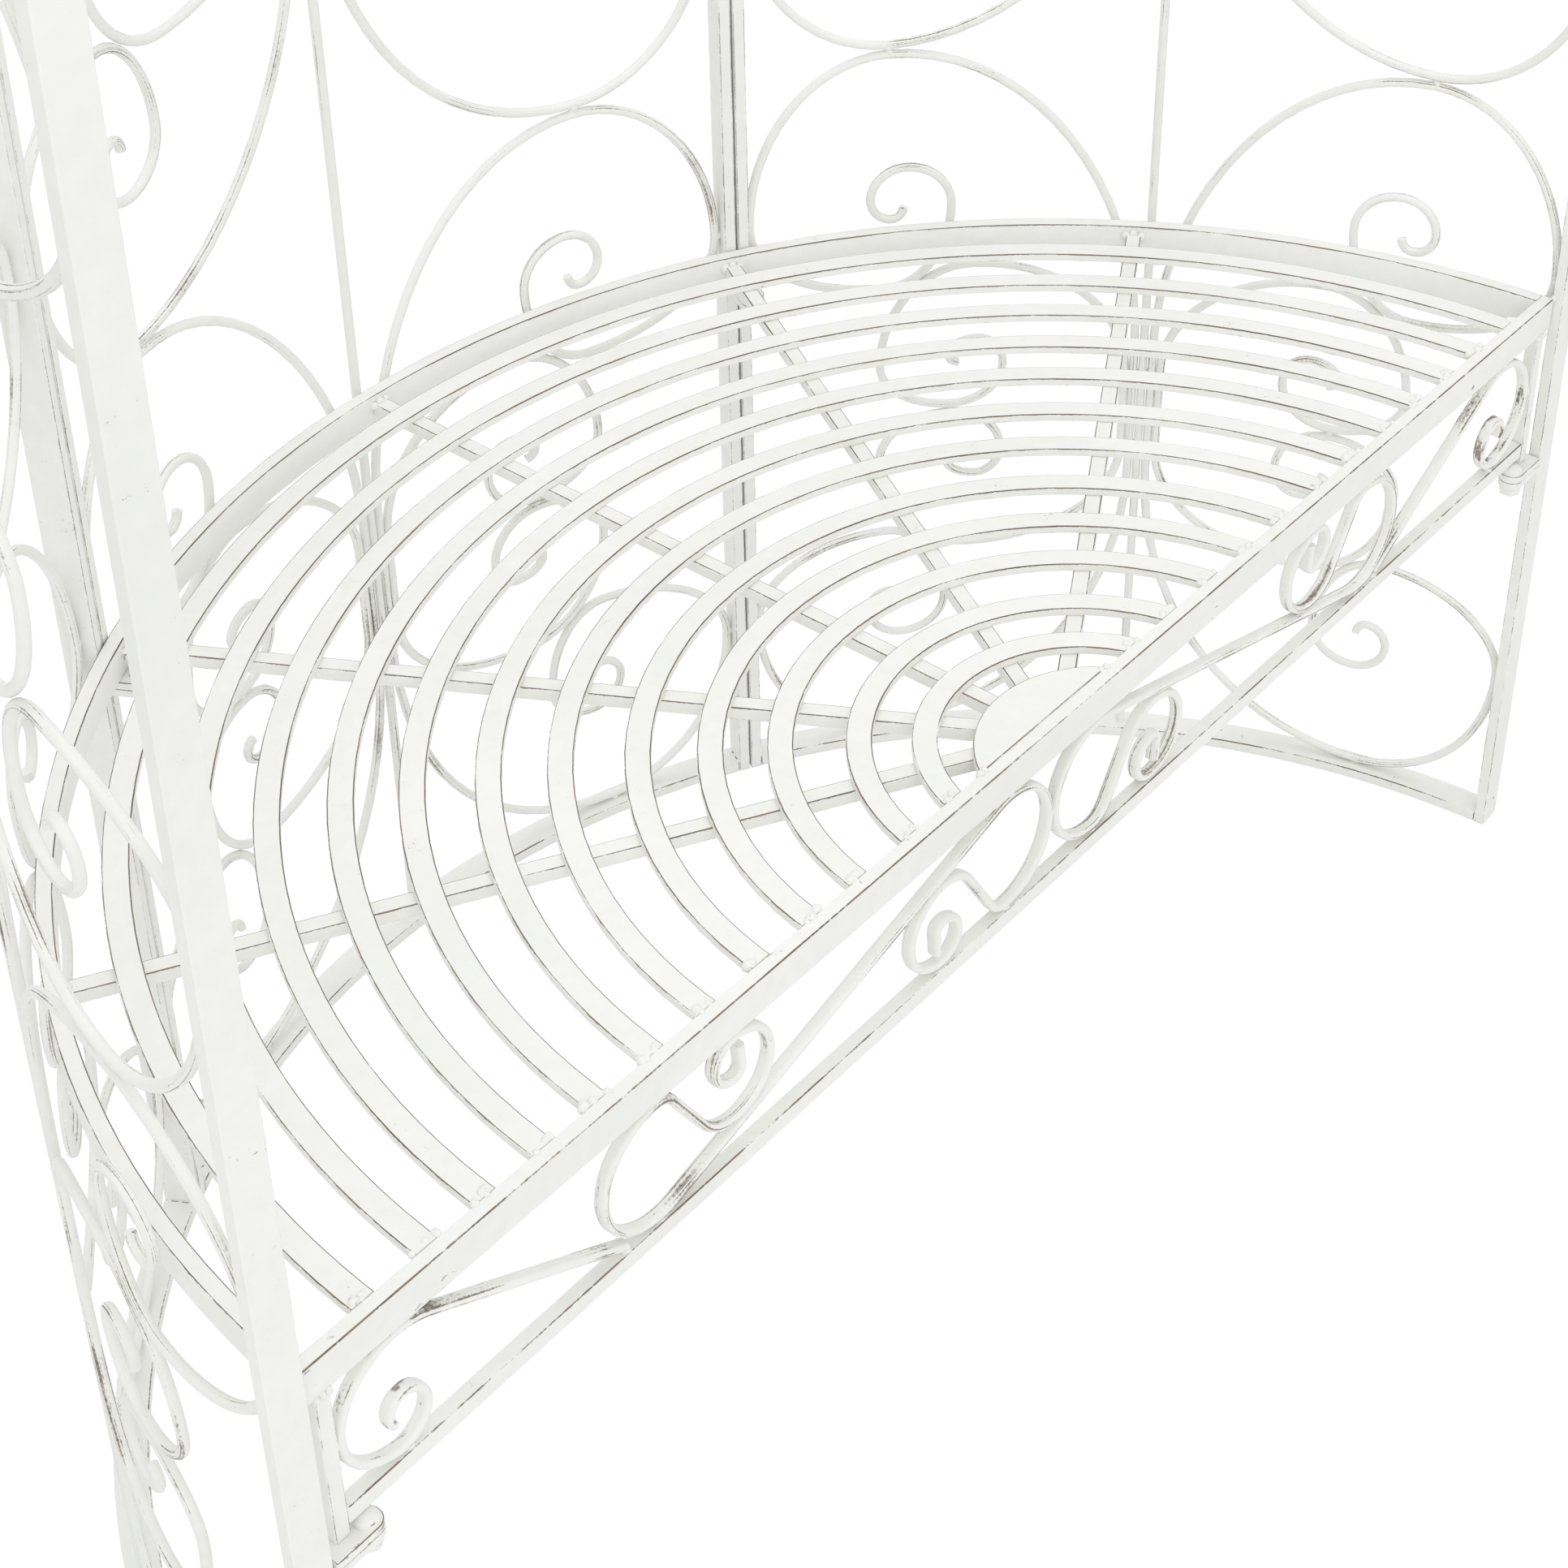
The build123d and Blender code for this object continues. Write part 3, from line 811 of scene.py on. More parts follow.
@dataclass
class Assembly:
    """What every sub-assembly of the gazebo works with."""

    plan: Plan
    forge: Forge
    finishes: Finishes

    def fit(self, piece: bpy.types.Object, name: str, finish: bpy.types.Material, slot: Slot) -> None:
        """Name and dress a piece, and fix it to the object.

        Args:
            piece: Finished mesh.
            name: Name of the piece.
            finish: Paint of the piece.
            slot: Record slot of its finish. Not used.
        """
        piece.name = name
        piece.data.name = name
        piece.data.materials.clear()
        piece.data.materials.append(finish)
        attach(piece, BODY)
        log.info("%s: %d faces", name, len(piece.data.polygons))

    def stand_for(self, node: str, piece: bpy.types.Object, finish: bpy.types.Material, slot: Slot) -> None:
        """Fit a piece in place of a CAD node.

        Args:
            node: Name of the node.
            piece: Finished mesh.
            finish: Paint of the piece.
            slot: Record slot of its finish.
        """
        self.fit(piece, "painted_" + node, finish, slot)
        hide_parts(node)


@dataclass
class ScrollWall(Assembly):
    """Three wall panels: posts, stiles, bent rails, centre rods and their C-scrolls.

    The beads on backs and rails are shares of a full one. The welds at the top and the stile are shares
    of the rod's clearance, and the rise of those on the rails is a share of the bar's thickness.
    """

    loop_top: float = 0.1145
    loop_side: float = 0.095
    curl_drop: float = 0.0615
    curl_side: float = 0.043
    large_turns: tuple[Point2, ...] = ((0.031, 0.030), (0.0225, 0.024), (0.0145, 0.016), (0.0085, 0.008))
    large_straight: float = 0.050
    large_steps: tuple[int, ...] = (18, 16, 16, 12, 10, 9, 7, 5)
    small_reach: float = 0.107
    small_loop: Point2 = (0.077, 0.0635)
    small_turns: tuple[Point2, ...] = (
        (0.050, 0.036), (0.032, 0.036), (0.018, 0.021), (0.012, 0.020), (0.007, 0.007),
    )
    small_straight: float = 0.033
    small_steps: tuple[int, ...] = (16, 14, 12, 11, 8, 7, 5)
    back_steps: int = 4
    rod_steps: int = 12
    rail_steps: int = 28
    bead: float = 0.003
    back_bead: float = 0.8
    rail_bead: float = 0.6
    top_weld: float = 0.4
    stile_weld: float = 0.6
    back_weld: float = 0.03
    rail_weld_turn: float = 0.42
    rail_weld_rise: float = 0.9
    rail_weld_row: Point3 = (0.003, 0.010, 0.017)

    def build(self) -> None:
        """Make the posts, rails, rods, scrolls and welds."""
        self.posts()
        for panel, centre in self.plan.panel_centres.items():
            self.rails(panel, centre)
            self.rods(panel, centre)
        self.welds()

    def posts(self) -> None:
        """Upright flat bars on edge at the panels' sides."""
        plan = self.plan
        size = (plan.bar_width, plan.bar_thickness, plan.eaves_height)
        centres = plan.panel_centres
        angles = {
            "right_front_post": plan.front_angle,
            "left_front_post": 180.0 - plan.front_angle,
            "right_rear_stile": centres["right"] + plan.stile_angle,
            "left_rear_stile": centres["left"] - plan.stile_angle,
            "back_right_stile": centres["back"] - plan.stile_angle,
            "back_left_stile": centres["back"] + plan.stile_angle,
        }
        for node, angle in angles.items():
            middle = Matrix.Translation((plan.bar_middle, 0.0, plan.eaves_height / 2))
            inward = plan.polar(-1.0, angle, 0.0) - plan.at(0.0, 0.0, 0.0)
            bar = self.forge.straight_bar(size, plan.about_centre(angle) @ middle, tuple(inward))
            self.stand_for(node, bar, self.finishes.frame, Slot.FRAME)

    def rails(self, panel: str, centre: float) -> None:
        """Bottom, waist and eaves rail of one panel.

        Args:
            panel: Name of the panel.
            centre: Polar angle of its middle.
        """
        plan = self.plan
        half = plan.stile_angle - math.degrees((plan.bar_thickness / 2 + plan.weld_gap) / plan.wall_radius)
        radii = (plan.wall_radius, plan.wall_radius + plan.bar_width)
        for kind, bottom in self.rail_bottoms.items():
            bar = self.forge.spun_bar(radii, plan.bar_thickness, (-half, half), self.rail_steps)
            self.forge.place(bar, plan.about_centre(centre) @ Matrix.Translation((0.0, 0.0, bottom)))
            node = f"{panel}_{kind}"
            self.stand_for(node, bar, self.finishes.frame, Slot.FRAME)

    @property
    def rail_bottoms(self) -> dict[str, float]:
        """Height of the underside of each rail of a panel."""
        plan = self.plan
        return {
            "bottom_rail": 0.0,
            "waist_rail": plan.waist_height,
            "eaves_rail": plan.eaves_height - plan.bar_thickness,
        }

    def rods(self, panel: str, centre: float) -> None:
        """Centre rod and all scrolls of one panel.

        Args:
            panel: Name of the panel.
            centre: Polar angle of its middle.
        """
        plan = self.plan
        foot = plan.polar(plan.bar_middle, centre, plan.bar_thickness)
        run = plan.waist_height - plan.bar_thickness
        line = [foot + UP * (run * step / self.rod_steps) for step in range(self.rod_steps + 1)]
        groups = {
            "centre_rod": [line],
            "large_scrolls": self.scroll_lines(self.large_half(), centre),
            "small_scrolls": self.scroll_lines(self.small_half(), centre),
        }
        for kind, lines in groups.items():
            node = f"{panel}_{kind}"
            piece = self.forge.rod(lines, plan.rod_radius)
            self.stand_for(node, piece, self.finishes.scroll, Slot.SCROLL)

    @property
    def rod_side(self) -> float:
        """Side of a square bar with the rod's area, as which the solids draw the scrolls."""
        return self.plan.rod_radius * math.sqrt(math.pi)

    @property
    def rod_clear(self) -> float:
        """Distance of a rod's middle from what it is welded to."""
        return self.rod_side / 2 + self.plan.weld_gap

    @property
    def large_back(self) -> float:
        """Distance of a large scroll's back from the centre rod's middle."""
        return self.plan.rod_radius + self.rod_clear

    @property
    def small_back(self) -> float:
        """Distance of a small scroll's back from the centre rod's middle."""
        return self.large_back + self.rod_side + self.plan.weld_gap

    @property
    def large_eye(self) -> Point2:
        """Eye of a large scroll along the wall and above its middle."""
        room = math.radians(self.plan.stile_angle) * self.plan.bar_middle - self.plan.bar_thickness / 2
        along = room - self.rod_clear - self.loop_side
        return (along, self.plan.tier_height / 2 - self.rod_clear - self.loop_top)

    @property
    def small_eye(self) -> Point2:
        """Eye of a small scroll along the wall and above its middle."""
        return (self.small_back + self.small_reach, self.small_turns[0][1] + self.rod_clear)

    def large_half(self) -> list[Point2]:
        """Upper half of a large scroll, its curl fitted against the small scroll."""
        across = self.large_eye[0] - self.small_eye[0]
        up = self.large_eye[1] - self.small_eye[1]
        apart = math.hypot(across, up)
        small = apart / math.hypot(across / self.small_loop[1], up / self.small_loop[0])
        curl = apart / math.hypot(across / self.curl_side, up / self.curl_drop)
        fit = (apart - small - self.rod_side - 2 * self.plan.weld_gap) / curl
        drop, side = fit * self.curl_drop, fit * self.curl_side
        loop_turns = ((self.loop_top, self.loop_side), (self.loop_side, drop), (drop, side))
        turns = (*loop_turns, *self.large_turns)
        return self.scroll_half(self.large_back, self.large_straight, self.large_eye, turns, self.large_steps)

    def small_half(self) -> list[Point2]:
        """Upper half of a small scroll."""
        turns = (self.small_loop, *self.small_turns)
        return self.scroll_half(self.small_back, self.small_straight, self.small_eye, turns, self.small_steps)

    def scroll_half(
        self, back: float, straight: float, eye: Point2, turns: Sequence[Point2], steps: Sequence[int]
    ) -> list[Point2]:
        """Line of the upper half of a C-scroll, from the middle of its back to its tip.

        Args:
            back: Distance of the back from the centre rod.
            straight: Height at which the scroll leaves its straight back.
            eye: Middle of the first quarter turn.
            turns: Half axes of each quarter turn, which starts where the last one ends.
            steps: Steps in the rise from the back and in each quarter turn.

        Returns:
            Distances along the wall and heights above the scroll's middle.
        """
        headings = [Vector((0.0, 1.0)), Vector((1.0, 0.0)), Vector((0.0, -1.0)), Vector((-1.0, 0.0))]
        points = [(back, straight * step / self.back_steps) for step in range(self.back_steps)]
        rise = eye[1] + turns[0][0] - straight
        for step in range(steps[0]):
            turn = math.pi / 2 * step / steps[0]
            points.append((eye[0] - (eye[0] - back) * math.cos(turn), straight + rise * math.sin(turn)))
        tip = Vector(eye) + headings[0] * turns[0][0]
        for quarter, (fade, grow) in enumerate(turns):
            leaving = headings[quarter % 4] * fade
            coming = headings[(quarter + 1) % 4] * grow
            middle = tip - leaving
            for step in range(steps[quarter + 1]):
                turn = math.pi / 2 * step / steps[quarter + 1]
                points.append(tuple(middle + leaving * math.cos(turn) + coming * math.sin(turn)))
            tip = middle + coming
        points.append(tuple(tip))
        return points

    def on_wall(self, centre: float, side: int, along: float, height: float) -> Vector:
        """Point on the wall's curve at a distance from a panel's middle."""
        angle = centre - side * math.degrees(along / self.plan.bar_middle)
        return self.plan.polar(self.plan.bar_middle, angle, height)

    def tier_middles(self) -> list[float]:
        """Height of the middle of each tier."""
        plan = self.plan
        return [plan.bar_thickness + plan.tier_height * (tier + 0.5) for tier in range(plan.tier_count)]

    def scroll_lines(self, half: list[Point2], centre: float) -> list[list[Vector]]:
        """Lines of all scrolls of one kind in a panel.

        Args:
            half: Upper half of the scroll.
            centre: Polar angle of the panel's middle.

        Returns:
            One line for each scroll.
        """
        whole = [(along, -up) for along, up in reversed(half[1:])] + half
        lines = []
        for middle in self.tier_middles():
            for side in (-1, 1):
                lines.append([self.on_wall(centre, side, along, middle + up) for along, up in whole])
        return lines

    def scroll_spots(self, centre: float, side: int, middle: float) -> list[Spot]:
        """Weld spots of a large scroll and the small one inside it.

        Args:
            centre: Polar angle of the panel's middle.
            side: 1 to the right of the centre rod, -1 to the left.
            middle: Height of the tier's middle.

        Returns:
            Spots above and below, at the stile, on the centre rod and between the small scroll's halves.
        """
        along, up = self.large_eye
        top = self.plan.tier_height / 2 - self.rod_clear * self.top_weld
        stile = along + self.loop_side + self.rod_clear * self.stile_weld
        spots = []
        for end in (-1, 1):
            spots.append((self.on_wall(centre, side, along, middle + end * top), self.bead))
            spots.append((self.on_wall(centre, side, stile, middle + end * up), self.bead))
            back = self.on_wall(centre, side, self.large_back / 2, middle + end * self.back_weld)
            spots.append((back, self.bead * self.back_bead))
        meeting = self.small_eye[0] + self.small_loop[1] - self.small_turns[0][0]
        spots.append((self.on_wall(centre, side, meeting, middle), self.bead))
        return spots

    def rail_spots(self, centre: float) -> list[Spot]:
        """Weld spots at both ends of the rails of a panel with its middle at a polar angle."""
        plan = self.plan
        rise = plan.bar_thickness * self.rail_weld_rise
        spots = []
        for bottom in self.rail_bottoms.values():
            for side in (-1, 1):
                angle = centre - side * (plan.stile_angle - self.rail_weld_turn)
                for across in self.rail_weld_row:
                    place = plan.polar(plan.wall_radius + across, angle, bottom + rise)
                    spots.append((place, self.bead * self.rail_bead))
        return spots

    def welds(self) -> None:
        """Beads where the rods touch the bars and each other, and at the rails' ends."""
        spots = []
        for centre in self.plan.panel_centres.values():
            for middle in self.tier_middles():
                for side in (-1, 1):
                    spots += self.scroll_spots(centre, side, middle)
            spots += self.rail_spots(centre)
        self.fit(self.forge.weld_beads(spots), "wall_welds", self.finishes.weld, Slot.FRAME)


@dataclass
class SlattedSeat(Assembly):
    """Half-round seat: rim, bent slats, spokes, hub plate and their welds.

    At each end of a slat a few beads lie in a row as long as a share of its width. Their sizes are shares
    of a full bead, and each sinks by a share of its own. A spoke's beads lie at shares of its section.
    """

    rim_thickness: float = 0.009
    rim_steps: int = 96
    slat_centre: float = 0.010
    inner_radii: tuple[float, ...] = (
        0.4962, 0.4574, 0.4211, 0.3838, 0.3473, 0.3081, 0.2708, 0.2305, 0.1925, 0.1557, 0.1142, 0.0794,
    )
    slat_width: float = 0.014
    slat_thickness: float = 0.005
    slat_fewest_steps: int = 40
    slat_steps_per_metre: float = 190.0
    top_rub: float = 6.0
    spoke_angles: tuple[float, ...] = (30.0, 60.0, 90.0, 120.0, 150.0)
    spoke_width: float = 0.010
    spoke_height: float = 0.008
    spoke_start: float = 0.026
    hub_radius: float = 0.069
    hub_steps: int = 72
    hub_welds: tuple[float, ...] = (-1.0, -0.94, 1.0, 0.93)
    bead: float = 0.0028
    slat_beads: tuple[int, int] = (3, 5)
    bead_row: float = 1.15
    bead_depths: Point2 = (-0.0005, 0.0035)
    bead_sizes: Point2 = (0.6, 1.1)
    bead_sink: float = 0.35
    hub_weld_drop: float = 0.001
    spoke_weld_inset: float = 0.001
    spoke_weld_row: Point3 = (-0.5, 0.0, 0.5)
    spoke_weld_drop: float = 0.15

    def build(self) -> None:
        """Make the rim, slats, spokes, hub plate and welds."""
        self.rim()
        for number, inner in enumerate(self.inner_radii, start=1):
            self.slat(number, inner)
        self.spokes()
        self.hub()
        self.welds()

    def half_round(self, radii: Point2, height: float, steps: int, centre: float) -> bpy.types.Object:
        """Bar bent to a half circle whose ends stand square on the back of the front rail.

        Args:
            radii: Inner and outer radius.
            height: Size of the section along Z.
            steps: Steps in the arc.
            centre: Distance of the circle's middle behind the plan centre.

        Returns:
            The bar, its top level with the seat.
        """
        cut = self.plan.rail_setback - centre
        bar = self.forge.spun_bar(radii, height, (0.0, 180.0), steps, cut=cut, lift=self.top_rub)
        place = self.plan.at(0.0, centre, self.plan.seat_height - height)
        return self.forge.place(bar, Matrix.Translation(place))

    def rim(self) -> None:
        """Half-round band on edge around the seat."""
        radii = (self.plan.rim_outer - self.rim_thickness, self.plan.rim_outer)
        bar = self.half_round(radii, self.plan.rim_height, self.rim_steps, 0.0)
        self.stand_for("seat_rim", bar, self.finishes.seat, Slot.SEAT)

    def slat(self, number: int, inner: float) -> None:
        """One bent slat.

        Args:
            number: Count from the rim.
            inner: Its inner radius.
        """
        steps = max(self.slat_fewest_steps, round(self.slat_steps_per_metre * inner))
        bar = self.half_round((inner, inner + self.slat_width), self.slat_thickness, steps, self.slat_centre)
        node = f"seat_slat_{number:02d}"
        self.stand_for(node, bar, self.finishes.seat, Slot.SEAT)

    def spoke_reach(self, angle: float) -> float:
        """Distance from the middle of the rail's front to the rim along a spoke at an angle."""
        along = self.plan.rail_front * math.sin(math.radians(angle))
        aside = self.plan.rail_front * abs(math.cos(math.radians(angle))) + self.spoke_width / 2
        return math.sqrt((self.plan.rim_outer - self.rim_thickness) ** 2 - aside**2) - along

    def spokes(self) -> None:
        """Bars under the slats, from the hub plate to the rim."""
        plan = self.plan
        middle = plan.seat_height - self.slat_thickness - self.spoke_height / 2
        bars = []
        for angle in self.spoke_angles:
            reach = self.spoke_reach(angle)
            root = Matrix.Translation(plan.at(0.0, plan.rail_front, middle))
            turn = Matrix.Rotation(math.radians(angle), 4, "Z")
            size = (reach - self.spoke_start, self.spoke_width, self.spoke_height)
            place = root @ turn @ Matrix.Translation(((self.spoke_start + reach) / 2, 0.0, 0.0))
            bars.append(self.forge.straight_bar(size, place, (0.0, 0.0, 1.0)))
        self.stand_for("seat_spokes", self.forge.join(bars), self.finishes.seat, Slot.SEAT)

    def hub(self) -> None:
        """Half-disc plate over the inner ends of the spokes."""
        plan = self.plan
        self.forge.clear()
        bpy.ops.mesh.primitive_cylinder_add(
            vertices=self.hub_steps, radius=self.hub_radius, depth=self.slat_thickness
        )
        plate = bpy.context.object
        with self.forge.shaping(plate):
            bpy.ops.mesh.bisect(
                plane_co=(0, plan.rail_setback, 0), plane_no=(0, 1, 0), use_fill=True, clear_inner=True
            )
            bpy.ops.mesh.select_all(action="SELECT")
            bpy.ops.mesh.normals_make_consistent(inside=False)
        self.forge.ease(plate, self.forge.bar_smooth)
        place = plan.at(0.0, 0.0, plan.seat_height - self.slat_thickness / 2)
        self.forge.place(plate, Matrix.Translation(place))
        self.stand_for("seat_hub_plate", plate, self.finishes.seat, Slot.SEAT)

    def slat_spots(self, inner: float) -> list[Spot]:
        """Weld spots at both ends of a slat with an inner radius, a few laid by hand at each."""
        plan = self.plan
        hand = self.forge.hand
        radius = inner + self.slat_width / 2
        middle = math.sqrt(radius**2 - (plan.rail_setback - self.slat_centre) ** 2)
        spots = []
        for side in (-1, 1):
            for _ in range(hand.randint(*self.slat_beads)):
                along = side * middle + hand.uniform(-0.5, 0.5) * self.slat_width * self.bead_row
                deep = plan.rail_setback + hand.uniform(*self.bead_depths)
                size = self.bead * hand.uniform(*self.bead_sizes)
                spots.append((plan.at(along, deep, plan.seat_height - size * self.bead_sink), size))
        return spots

    def hub_spots(self) -> list[Spot]:
        """Weld spots where the hub plate meets the front rail."""
        plan = self.plan
        end = math.sqrt(self.hub_radius**2 - plan.rail_setback**2)
        height = plan.seat_height - self.hub_weld_drop
        return [(plan.at(end * share, plan.rail_setback, height), self.bead) for share in self.hub_welds]

    def spoke_spots(self, angle: float) -> list[Spot]:
        """Weld spots at the rim's end of a spoke at an angle."""
        plan = self.plan
        turn = Matrix.Rotation(math.radians(angle), 4, "Z")
        out = self.spoke_reach(angle) - self.spoke_weld_inset
        spots = []
        for across in self.spoke_weld_row:
            end = turn @ Vector((out, across * self.spoke_width, 0.0))
            drop = self.spoke_height * self.spoke_weld_drop if across else 0.0
            low = plan.seat_height - self.slat_thickness - drop
            spots.append((plan.at(end.x, plan.rail_front + end.y, low), self.bead))
        return spots

    def welds(self) -> None:
        """Beads at the slats' ends, the hub plate and the spokes' ends."""
        spots = []
        for inner in self.inner_radii:
            spots += self.slat_spots(inner)
        spots += self.hub_spots()
        for angle in self.spoke_angles:
            spots += self.spoke_spots(angle)
        self.fit(self.forge.weld_beads(spots), "seat_welds", self.finishes.weld, Slot.SEAT)


@dataclass
class FrontApron(Assembly):
    """Two rails, uprights and flat-bar scrolls under the front of the seat.

    The beads on uprights and rail are shares of a full one. The scrolls' welds lie at a share of the
    bar's depth, and those on an upright at shares of its width.
    """

    upright_width: float = 0.009
    upright_gap: float = 0.007
    bar: float = 0.005
    depth: float = 0.008
    tail_length: float = 0.1455
    end_radii: Point2 = (0.0175, 0.0095)
    end_angles: Point3 = (258.0, 420.0, 580.0)
    tail_past_loop: float = 0.025
    curl_gap: float = 0.0005
    shoulder: float = 0.015
    curl_reach: float = 0.057
    double_radii: Point2 = (0.014, 0.0055)
    tip_turn: float = 95.0
    tip_length: float = 0.014
    meeting_offset: float = 0.002
    bend_step: float = 5.0
    run_steps: int = 8
    bead: float = 0.0028
    scroll_weld: float = 0.35
    upright_bead: float = 0.8
    upright_weld_row: Point3 = (0.1, 0.5, 0.9)
    upright_weld_drop: float = 0.0005
    rail_bead: float = 0.7
    rail_weld_step: Point2 = (0.003, 0.006)

    def build(self) -> None:
        """Make the rails, uprights, scrolls and welds."""
        self.rails()
        self.uprights()
        self.scrolls()
        self.welds()

    @property
    def top(self) -> float:
        """Underside of the upper rail."""
        return self.plan.seat_height - self.plan.rail_height

    @property
    def bottom(self) -> float:
        """Top of the lower rail."""
        return self.top - self.plan.apron_opening

    @property
    def middle(self) -> float:
        """Height of the middle of the opening."""
        return (self.top + self.bottom) / 2

    @property
    def upright_inner(self) -> float:
        """Distance of an upright's inner face from the middle."""
        return self.plan.rail_half - self.upright_gap - self.upright_width

    @property
    def loop_radius(self) -> float:
        """Radius of the loops that touch both rails."""
        return (self.plan.apron_opening - self.bar) / 2 - self.plan.weld_gap

    @property
    def end_loop_x(self) -> float:
        """Middle of the left end scroll's loop."""
        return self.bar / 2 + self.plan.weld_gap + self.loop_radius - self.upright_inner

    @property
    def double_loop_x(self) -> float:
        """Middle of the left double scroll's right loop."""
        return self.meeting_offset - self.plan.weld_gap / 2 - self.bar / 2 - self.loop_radius

    def rails(self) -> None:
        """Upper and lower rail."""
        plan = self.plan
        low = self.bottom - plan.low_rail_height
        lines = {
            "apron_top_rail": (plan.rail_half, self.top, plan.rail_height, self.finishes.apron_bar),
            "apron_bottom_rail": (self.upright_inner, low, plan.low_rail_height, self.finishes.frame),
        }
        for node, (half, bottom, height, finish) in lines.items():
            middle = plan.at(0.0, plan.rail_middle, bottom + height / 2)
            size = (2 * half, plan.rail_thickness, height)
            bar = self.forge.straight_bar(size, Matrix.Translation(middle), (0.0, -1.0, 1.0))
            self.stand_for(node, bar, finish, Slot.APRON)

    def uprights(self) -> None:
        """Short bars between the rails at both ends."""
        plan = self.plan
        foot = plan.upright_foot
        size = (self.upright_width, plan.rail_thickness, self.top - foot)
        aside = self.upright_inner + self.upright_width / 2
        bars = []
        for side in (-1, 1):
            place = plan.at(side * aside, plan.rail_middle, (self.top + foot) / 2)
            bars.append(self.forge.straight_bar(size, Matrix.Translation(place), (0.0, -1.0, 0.0)))
        self.stand_for("apron_uprights", self.forge.join(bars), self.finishes.frame, Slot.APRON)

    def bend(self, centre: Point2, radius: float, start: float, turn: float) -> list[Point2]:
        """Points of a bend in the apron's plane.

        Args:
            centre: Middle of the bend.
            radius: Its radius.
            start: First angle in degrees.
            turn: Angle turned, against the clock if positive.

        Returns:
            Points along the bend.
        """
        count = math.ceil(abs(turn) / self.bend_step)
        angles = [math.radians(start + turn * step / count) for step in range(count + 1)]
        return [(centre[0] + radius * math.cos(a), centre[1] + radius * math.sin(a)) for a in angles]

    def beside(self, point: Point2, distance: float, angle: float) -> Point2:
        """Point at a distance and an angle in degrees from another in the apron's plane."""
        turn = math.radians(angle)
        return (point[0] + distance * math.cos(turn), point[1] + distance * math.sin(turn))

    def run(self, start: Point2, end: Point2) -> list[Point2]:
        """Points of a straight run, without its end."""
        x, z = end[0] - start[0], end[1] - start[1]
        shares = [step / self.run_steps for step in range(self.run_steps)]
        return [(start[0] + x * share, start[1] + z * share) for share in shares]

    def end_line(self) -> list[Point2]:
        """Line of the left end scroll, from its tail to its tip."""
        turn, tip = self.end_radii
        start, tighten, finish = self.end_angles
        centre = (self.end_loop_x, self.middle)
        tail = (self.end_loop_x + self.tail_length, self.middle - self.loop_radius)
        reach = math.hypot(self.tail_length, self.loop_radius)
        slant = math.atan2(self.loop_radius, self.tail_length)
        touch = math.degrees(math.acos(self.loop_radius / reach) - slant)
        loop = self.bend(centre, self.loop_radius, touch, start - touch)
        turn_centre = self.beside(centre, self.loop_radius - turn, start)
        inner = self.bend(turn_centre, turn, start, tighten - start)
        tip_centre = self.beside(turn_centre, turn - tip, tighten)
        end = self.bend(tip_centre, tip, tighten, finish - tighten)
        return [*self.run(tail, loop[0]), *loop, *inner[1:], *end[1:]]

    def double_line(self) -> tuple[list[Point2], Point2]:
        """Line of the right half of the left double scroll.

        Returns:
            Points from the scroll's middle to its tip, and the middle itself.
        """
        turn, tip = self.double_radii
        radius = self.loop_radius
        centre_x = self.double_loop_x
        half_span = (centre_x - self.end_loop_x - self.tail_length - self.tail_past_loop) / 2
        start = (centre_x - half_span, self.middle)
        low = self.middle - radius
        slope = math.asin(radius / half_span)
        under_bar = radius + (half_span - self.curl_reach) * math.tan(slope)
        curl = (under_bar * math.cos(slope) - self.bar - self.curl_gap) / (1 + math.cos(slope))
        curl_x = centre_x - self.curl_reach
        rise = curl - self.shoulder
        crossing = math.asin((curl + self.shoulder) / math.hypot(self.curl_reach, rise))
        lean = math.degrees(math.atan2(rise, -self.curl_reach) - crossing) - 90
        touch = 90 + math.degrees(slope)
        loop = self.bend((centre_x, self.middle), radius, touch, -90 - touch)
        shoulder = self.bend((centre_x, low + self.shoulder), self.shoulder, -90, lean - 90)
        outer = self.bend((curl_x, low + curl), curl, lean, 270 - lean)
        inner = self.bend((curl_x, low + turn), turn, -90, 180)
        end = self.bend((curl_x, low + 2 * turn - tip), tip, 90, self.tip_turn)
        point = self.beside(end[-1], self.tip_length, 180 + self.tip_turn)
        slope_run = self.run(shoulder[-1], outer[0])
        bends = [*loop, *shoulder[1:], *slope_run[1:], *outer, *inner[1:], *end[1:]]
        return [*self.run(start, loop[0]), *bends, point], start

    def flat_bar(self, line: Sequence[Point2]) -> bpy.types.Object:
        """Bar with round edges bent along a line, flush with the rails' front."""
        points = [Vector((x, z, 0.0)) for x, z in line]
        piece = self.forge.rod([points], self.bar / 2, (self.depth - self.bar) / 2)
        stand = Matrix.Translation(self.plan.at(0.0, self.plan.rail_front + self.depth / 2, 0.0))
        return self.forge.place(piece, stand @ Matrix.Rotation(math.pi / 2, 4, "X"))

